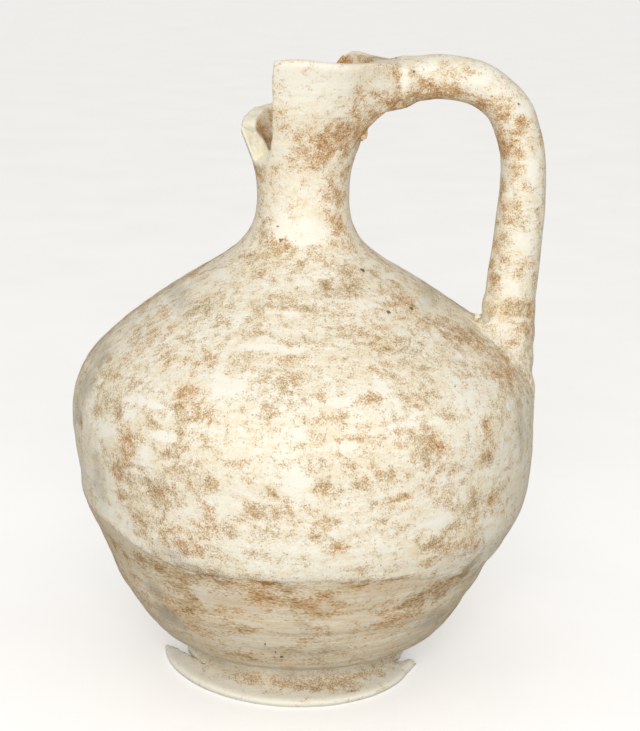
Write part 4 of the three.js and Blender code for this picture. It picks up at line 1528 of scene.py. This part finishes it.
def earth_stain_group():
    """Rusty earth in the slip: a soft tan wash with fine grains in it, dark where the bloom is strong."""
    inputs = {"Place": None, "Bloom": 0.0, "Strew": 0.0, "Swipes": 0.5}
    tree, given, out = new_group("earth_stain", inputs, ["Wash", "Tan", "Deep"])
    fine = grain(tree, given["Place"], 1750, 2.0, 0.6)
    patch = grain(tree, given["Place"], 300, 4.0, 0.65, 0.4)
    drifts = grain(tree, given["Place"], 62, 3.0, 0.55)
    level = maths(tree, "ADD", given["Bloom"], given["Strew"])
    for texture, weight in ((patch, 3.0), (drifts, 1.4), (given["Swipes"], -1.2)):
        level = weigh_in(tree, level, texture, weight)
    grains = weigh_in(tree, level, fine, 4.0)
    mottled = weigh_in(tree, level, fine, 1.8)
    tree.links.new(ramp(tree, mottled, -0.2, 0.95), out["Wash"])
    tree.links.new(ramp(tree, grains, 0.35, 1.1), out["Tan"])
    tree.links.new(ramp(tree, grains, 1.0, 1.8), out["Deep"])
    return tree


def brush_swipes_group():
    """Long slanting strokes of the hand that wiped the slip on."""
    tree, given, out = new_group("brush_swipes", {"Place": None}, ["Swipes"])
    strokes = []
    for rotation, scale, size in (
        ((0.2, 0.6, 0.0), (0.22, 1.0, 1.0), 420),
        ((0.0, -0.3, 0.1), (0.3, 0.6, 1.0), 460),
    ):
        inputs = {"Vector": given["Place"], "Rotation": rotation, "Scale": scale}
        turned = add(tree, "ShaderNodeMapping", inputs).outputs[0]
        strokes.append(grain(tree, turned, size, 3.0, 0.6, 0.6))
    share = ramp(tree, grain(tree, given["Place"], 34, 2.0, 0.5), 0.42, 0.58)
    mixed = add(tree, "ShaderNodeMix", {0: share, 2: strokes[0], 3: strokes[1]})
    tree.links.new(mixed.outputs[0], out["Swipes"])
    return tree


def wheel_lines_group():
    """Fine lines that the wheel and the wiping hand left round the pot."""
    tree, given, out = new_group("wheel_lines", {"Turned": None}, ["Lines", "Bands"])
    tree.links.new(grain(tree, given["Turned"], 820, 2.0, 0.6), out["Lines"])
    tree.links.new(grain(tree, given["Turned"], 190, 2.0, 0.5), out["Bands"])
    return tree


def slip_relief_group():
    """Height of the skin of slip: brushed thick and thin, sandy, and pitted."""
    inputs = {"Place": None, "Lines": 0.5, "Stain": 0.0, "Bare": 0.0}
    tree, given, out = new_group("slip_relief", inputs, ["Height"])
    sand = grain(tree, given["Place"], 1500, 2.0, 0.6)
    lumps = grain(tree, given["Place"], 330, 2.0, 0.55)
    broken = grain(tree, given["Place"], 620, 3.0, 0.65)
    total = maths(tree, "MULTIPLY", sand, 0.30)
    for texture, weight in ((lumps, 0.55), (given["Lines"], 0.35), (given["Stain"], -0.22)):
        total = maths(tree, "ADD", total, maths(tree, "MULTIPLY", texture, weight))
    rough = maths(tree, "MULTIPLY", maths(tree, "MULTIPLY", broken, 1.6), given["Bare"])
    tree.links.new(maths(tree, "ADD", total, rough), out["Height"])
    return tree


EARTH_STAIN = earth_stain_group()
BRUSH_SWIPES = brush_swipes_group()
WHEEL_LINES = wheel_lines_group()
SLIP_RELIEF = slip_relief_group()

# Bright slip, which also paints the light on the foot's lip
BRIGHT_SLIP_AND_LIGHT = (0.92, 0.89, 0.775, 1)
CREAM_SLIP = (0.86, 0.77, 0.58, 1)
THIN_SLIP = (0.60, 0.46, 0.28, 1)
BARE_CLAY = (0.46, 0.29, 0.16, 1)
TAN_WASH = (0.72, 0.53, 0.30, 1)
TAN_EARTH = (0.52, 0.27, 0.085, 1)
OLIVE_EARTH = (0.46, 0.34, 0.18, 1)
# Deep rust, which also paints the darkest painted shade
DEEP_RUST_AND_SHADE = (0.28, 0.11, 0.03, 1)
# Grey slip, which also paints the shade under the bowl and on the foot's neck
GREY_SLIP_AND_SHADE = (0.38, 0.34, 0.26, 1)
BREAK_FACE = (0.93, 0.88, 0.70, 1)
PIT = (0.06, 0.04, 0.025, 1)


def new_material(name):
    material = bpy.data.materials.new(name)
    material.use_nodes = True
    tree = material.node_tree
    return material, tree, tree.nodes["Principled BSDF"]


def mask(tree, name):
    socket = "Vector" if name == "turned" else "Fac"
    return add(tree, "ShaderNodeAttribute", attribute_name=name).outputs[socket]


def roughen(tree, shader, strength, distance, **inputs):
    """Bumps a finish with the relief of the slip."""
    height = use_group(tree, SLIP_RELIEF, **inputs)["Height"]
    bump = add(tree, "ShaderNodeBump", {"Strength": strength, "Distance": distance, "Height": height})
    tree.links.new(bump.outputs["Normal"], shader.inputs["Normal"])


def slip_material(name, strew, wear, lines_share, drawn_out=1.0):
    """Cream slip over tan clay, with earth stains. strew adds stain, wear thins the slip all over,
    lines_share sets how much the wheel's lines show and drawn_out how long the stains lie round the pot."""
    material, tree, shader = new_material(name)
    place = add(tree, "ShaderNodeTexCoord").outputs["Object"]
    pale, bare = mask(tree, "pale"), mask(tree, "bare")
    wheel = use_group(tree, WHEEL_LINES, Turned=mask(tree, "turned"))
    swipes = use_group(tree, BRUSH_SWIPES, Place=place)["Swipes"]
    # The rust stains, with a few painted shadows among them, less the pale slip
    bloom_and_shade = maths(tree, "SUBTRACT", mask(tree, "rust_and_shade"), maths(tree, "MULTIPLY", pale, 0.6))
    laid = add(tree, "ShaderNodeMapping", {"Vector": place, "Scale": (1 / drawn_out, 1 / drawn_out, 1.0)})
    stain = use_group(tree, EARTH_STAIN, Place=laid.outputs[0], Swipes=swipes, Bloom=bloom_and_shade, Strew=strew)

    # How thick the slip lies, and on the foot's lip also painted light, through the pale mask
    thick_slip_and_light = maths(tree, "MULTIPLY", pale, 0.2)
    for texture, weight in (
        (grain(tree, place, 75, 3.0, 0.6), 0.35),
        (grain(tree, place, 620, 3.0, 0.7), 0.35),
        (grain(tree, place, 1900, 1.0, 0.5), 0.35),
        (swipes, 0.45),
    ):
        thick_slip_and_light = weigh_in(tree, thick_slip_and_light, texture, weight)
    colour = blend(tree, ramp(tree, thick_slip_and_light, -0.1, 0.09), CREAM_SLIP, BRIGHT_SLIP_AND_LIGHT)

    lines = maths(tree, "MULTIPLY", wheel["Lines"], 0.5)
    streaks = maths(tree, "ADD", lines, maths(tree, "MULTIPLY", wheel["Bands"], 0.5))
    thin = maths(tree, "ADD", maths(tree, "MULTIPLY", mask(tree, "worn"), 0.6), wear)
    thin = weigh_in(tree, thin, streaks, lines_share)
    colour = blend(tree, maths(tree, "MULTIPLY", thin, 1.0, True), colour, THIN_SLIP)

    height = add(tree, "ShaderNodeSeparateXYZ", {0: place}).outputs["Z"]
    olive = ramp(tree, grain(tree, place, 48, 2.0, 0.5), 0.4, 0.57)
    hue = maths(tree, "MULTIPLY", olive, ramp(tree, height, 0.17, 0.21, 1.0, 0.0))
    earth = blend(tree, hue, TAN_EARTH, OLIVE_EARTH)
    # The stain colours also paint the painted shadows that are listed among the rust marks
    for share, weight, paint in (
        (stain["Wash"], 0.55, TAN_WASH),
        (stain["Tan"], 0.7, earth),
        (stain["Deep"], 0.75, DEEP_RUST_AND_SHADE),
        # The grey mask paints grey slip, and also the painted shade under the bowl and on the foot's neck
        (mask(tree, "grey"), 0.62, GREY_SLIP_AND_SHADE),
        (bare, 0.9, BREAK_FACE),
        (ramp(tree, mask(tree, "pit"), 0.45, 0.95), 0.8, PIT),
    ):
        colour = blend(tree, maths(tree, "MULTIPLY", share, weight), colour, paint)
    tree.links.new(colour, shader.inputs["Base Color"])

    roughen(
        tree, shader, strength=0.55, distance=0.0006,
        Place=place, Lines=wheel["Lines"], Stain=stain["Tan"], Bare=bare,
    )
    tree.links.new(ramp(tree, thick_slip_and_light, -0.15, 0.15, 0.9, 0.72), shader.inputs["Roughness"])
    shader.inputs["Specular IOR Level"].default_value = 0.35
    return material


def inner_clay_material():
    """Bare wheel-marked clay inside the body, washed with a thin film of slip."""
    material, tree, shader = new_material("inner_clay")
    place = add(tree, "ShaderNodeTexCoord").outputs["Object"]
    lines = use_group(tree, WHEEL_LINES, Turned=mask(tree, "turned"))["Lines"]
    stain = use_group(tree, EARTH_STAIN, Place=place)["Tan"]
    film = ramp(tree, grain(tree, place, 60, 3.0, 0.6), 0.35, 0.7)
    colour = blend(tree, film, BARE_CLAY, THIN_SLIP)
    colour = blend(tree, maths(tree, "MULTIPLY", lines, 0.4), colour, THIN_SLIP)
    colour = blend(tree, maths(tree, "MULTIPLY", stain, 0.6), colour, TAN_EARTH)
    tree.links.new(colour, shader.inputs["Base Color"])
    roughen(tree, shader, strength=0.6, distance=0.0007, Place=place, Lines=lines)
    tree.links.new(ramp(tree, film, 0.0, 1.0, 0.94, 0.85), shader.inputs["Roughness"])
    return material


cream_slip = slip_material("cream_slip", strew=0.04, wear=0.05, lines_share=0.3)
stained_slip = slip_material("stained_slip", strew=0.2, wear=0.0, lines_share=1.6, drawn_out=2.2)
luting_clay = slip_material("luting_clay", strew=0.08, wear=0.12, lines_share=0.1)
inner_clay = inner_clay_material()


# The jug

dress("thrown_foot", foot_ring(), "cream_slip", [cream_slip, inner_clay], "foot_ring")
dress("lower_bowl", lower_bowl(), "stained_slip", [stained_slip, inner_clay], "base_bowl")
for name, low, high, node in (
    ("belly_wall", RIDGE, SHOULDER_LINE, "belly"),
    ("shoulder_wall", SHOULDER_LINE, NECK_ROOT, "shoulder"),
    ("neck_wall", NECK_ROOT, MOUTH_JOINT, "neck"),
):
    dress(name, wall_ring(name, low, high), "cream_slip", [cream_slip, inner_clay], node)
dress("broken_mouth", broken_mouth(), "cream_slip", [cream_slip], "mouth")
rolled_handle = handle_clay("rolled_handle", handle_field, *HANDLE_BOX, BAR_CELL)
dress("rolled_handle", rolled_handle, "cream_slip", [cream_slip], "handle")
pressed_wad = handle_clay("pressed_wad", wad_field, *WAD_BOX, SMEAR_CELL)
dress("pressed_wad", pressed_wad, "luting_clay", [luting_clay], "handle_top_wad")
smeared_pad = handle_clay("smeared_pad", pad_field, *PAD_BOX, SMEAR_CELL)
dress("smeared_pad", smeared_pad, "luting_clay", [luting_clay], "handle_root_pad")


# Floor, light and camera

FLOOR_HALF = 6
FLOOR_COLOUR = (0.88, 0.87, 0.85, 1)
FLOOR_MOTTLE = (0.84, 0.83, 0.81, 1)
FLOOR_BOUNCE = (0.38, 0.37, 0.35, 1)
FLOOR_LIFT = (0.34, 0.34, 0.34, 1)
NO_LIFT = (0, 0, 0, 1)
ROOM_COLOUR = (0.90, 0.89, 0.87, 1)
ROOM_STRENGTH = 0.66
JUG_MIDDLE = Vector((0, 0, 0.12))


def studio_floor():
    """Pale floor to the camera, which throws less light back up at the jug than it shows."""
    mesh = bpy.data.meshes.new("studio_floor")
    corners = [(FLOOR_HALF * x, FLOOR_HALF * y, 0) for x, y in ((-1, -1), (1, -1), (1, 1), (-1, 1))]
    mesh.from_pydata(corners, [], [(0, 1, 2, 3)])
    material, tree, shader = new_material("studio_floor")
    place = add(tree, "ShaderNodeTexCoord").outputs["Object"]
    seen = add(tree, "ShaderNodeLightPath").outputs["Is Camera Ray"]
    mottle = ramp(tree, grain(tree, place, 9, 4.0, 0.6), 0.3, 0.7)
    colour = blend(tree, mottle, FLOOR_COLOUR, FLOOR_MOTTLE)
    tree.links.new(blend(tree, seen, FLOOR_BOUNCE, colour), shader.inputs["Base Color"])
    tree.links.new(blend(tree, seen, NO_LIFT, FLOOR_LIFT), shader.inputs["Emission Color"])
    shader.inputs["Emission Strength"].default_value = 1.0
    shader.inputs["Roughness"].default_value = 0.9
    mesh.materials.append(material)
    set_down("studio_floor", mesh)


def room_light():
    """Even light from all round, plain and pale to the camera."""
    world = bpy.data.worlds.new("studio_room")
    bpy.context.scene.world = world
    world.use_nodes = True
    tree = world.node_tree
    back = tree.nodes["Background"]
    seen = add(tree, "ShaderNodeLightPath").outputs["Is Camera Ray"]
    back.inputs["Color"].default_value = ROOM_COLOUR
    tree.links.new(ramp(tree, seen, 0.0, 1.0, ROOM_STRENGTH, 1.0), back.inputs["Strength"])


def soft_lamp(name, azimuth, elevation, distance, size, power):
    """Round soft lamp that looks at the middle of the jug."""
    data = bpy.data.lights.new(name, "AREA")
    data.shape = "DISK"
    data.size = size
    data.energy = power
    lamp = set_down(name, data)
    turn, rise = math.radians(azimuth), math.radians(elevation)
    away = Vector((math.cos(turn) * math.cos(rise), math.sin(turn) * math.cos(rise), math.sin(rise)))
    lamp.location = JUG_MIDDLE + distance * away
    lamp.rotation_euler = away.to_track_quat("Z", "Y").to_euler()


studio_floor()
room_light()
soft_lamp("front_box", azimuth=268.5, elevation=17, distance=1.2, size=0.8, power=9.2)
make_camera()

bpy.context.scene.view_settings.view_transform = "Standard"
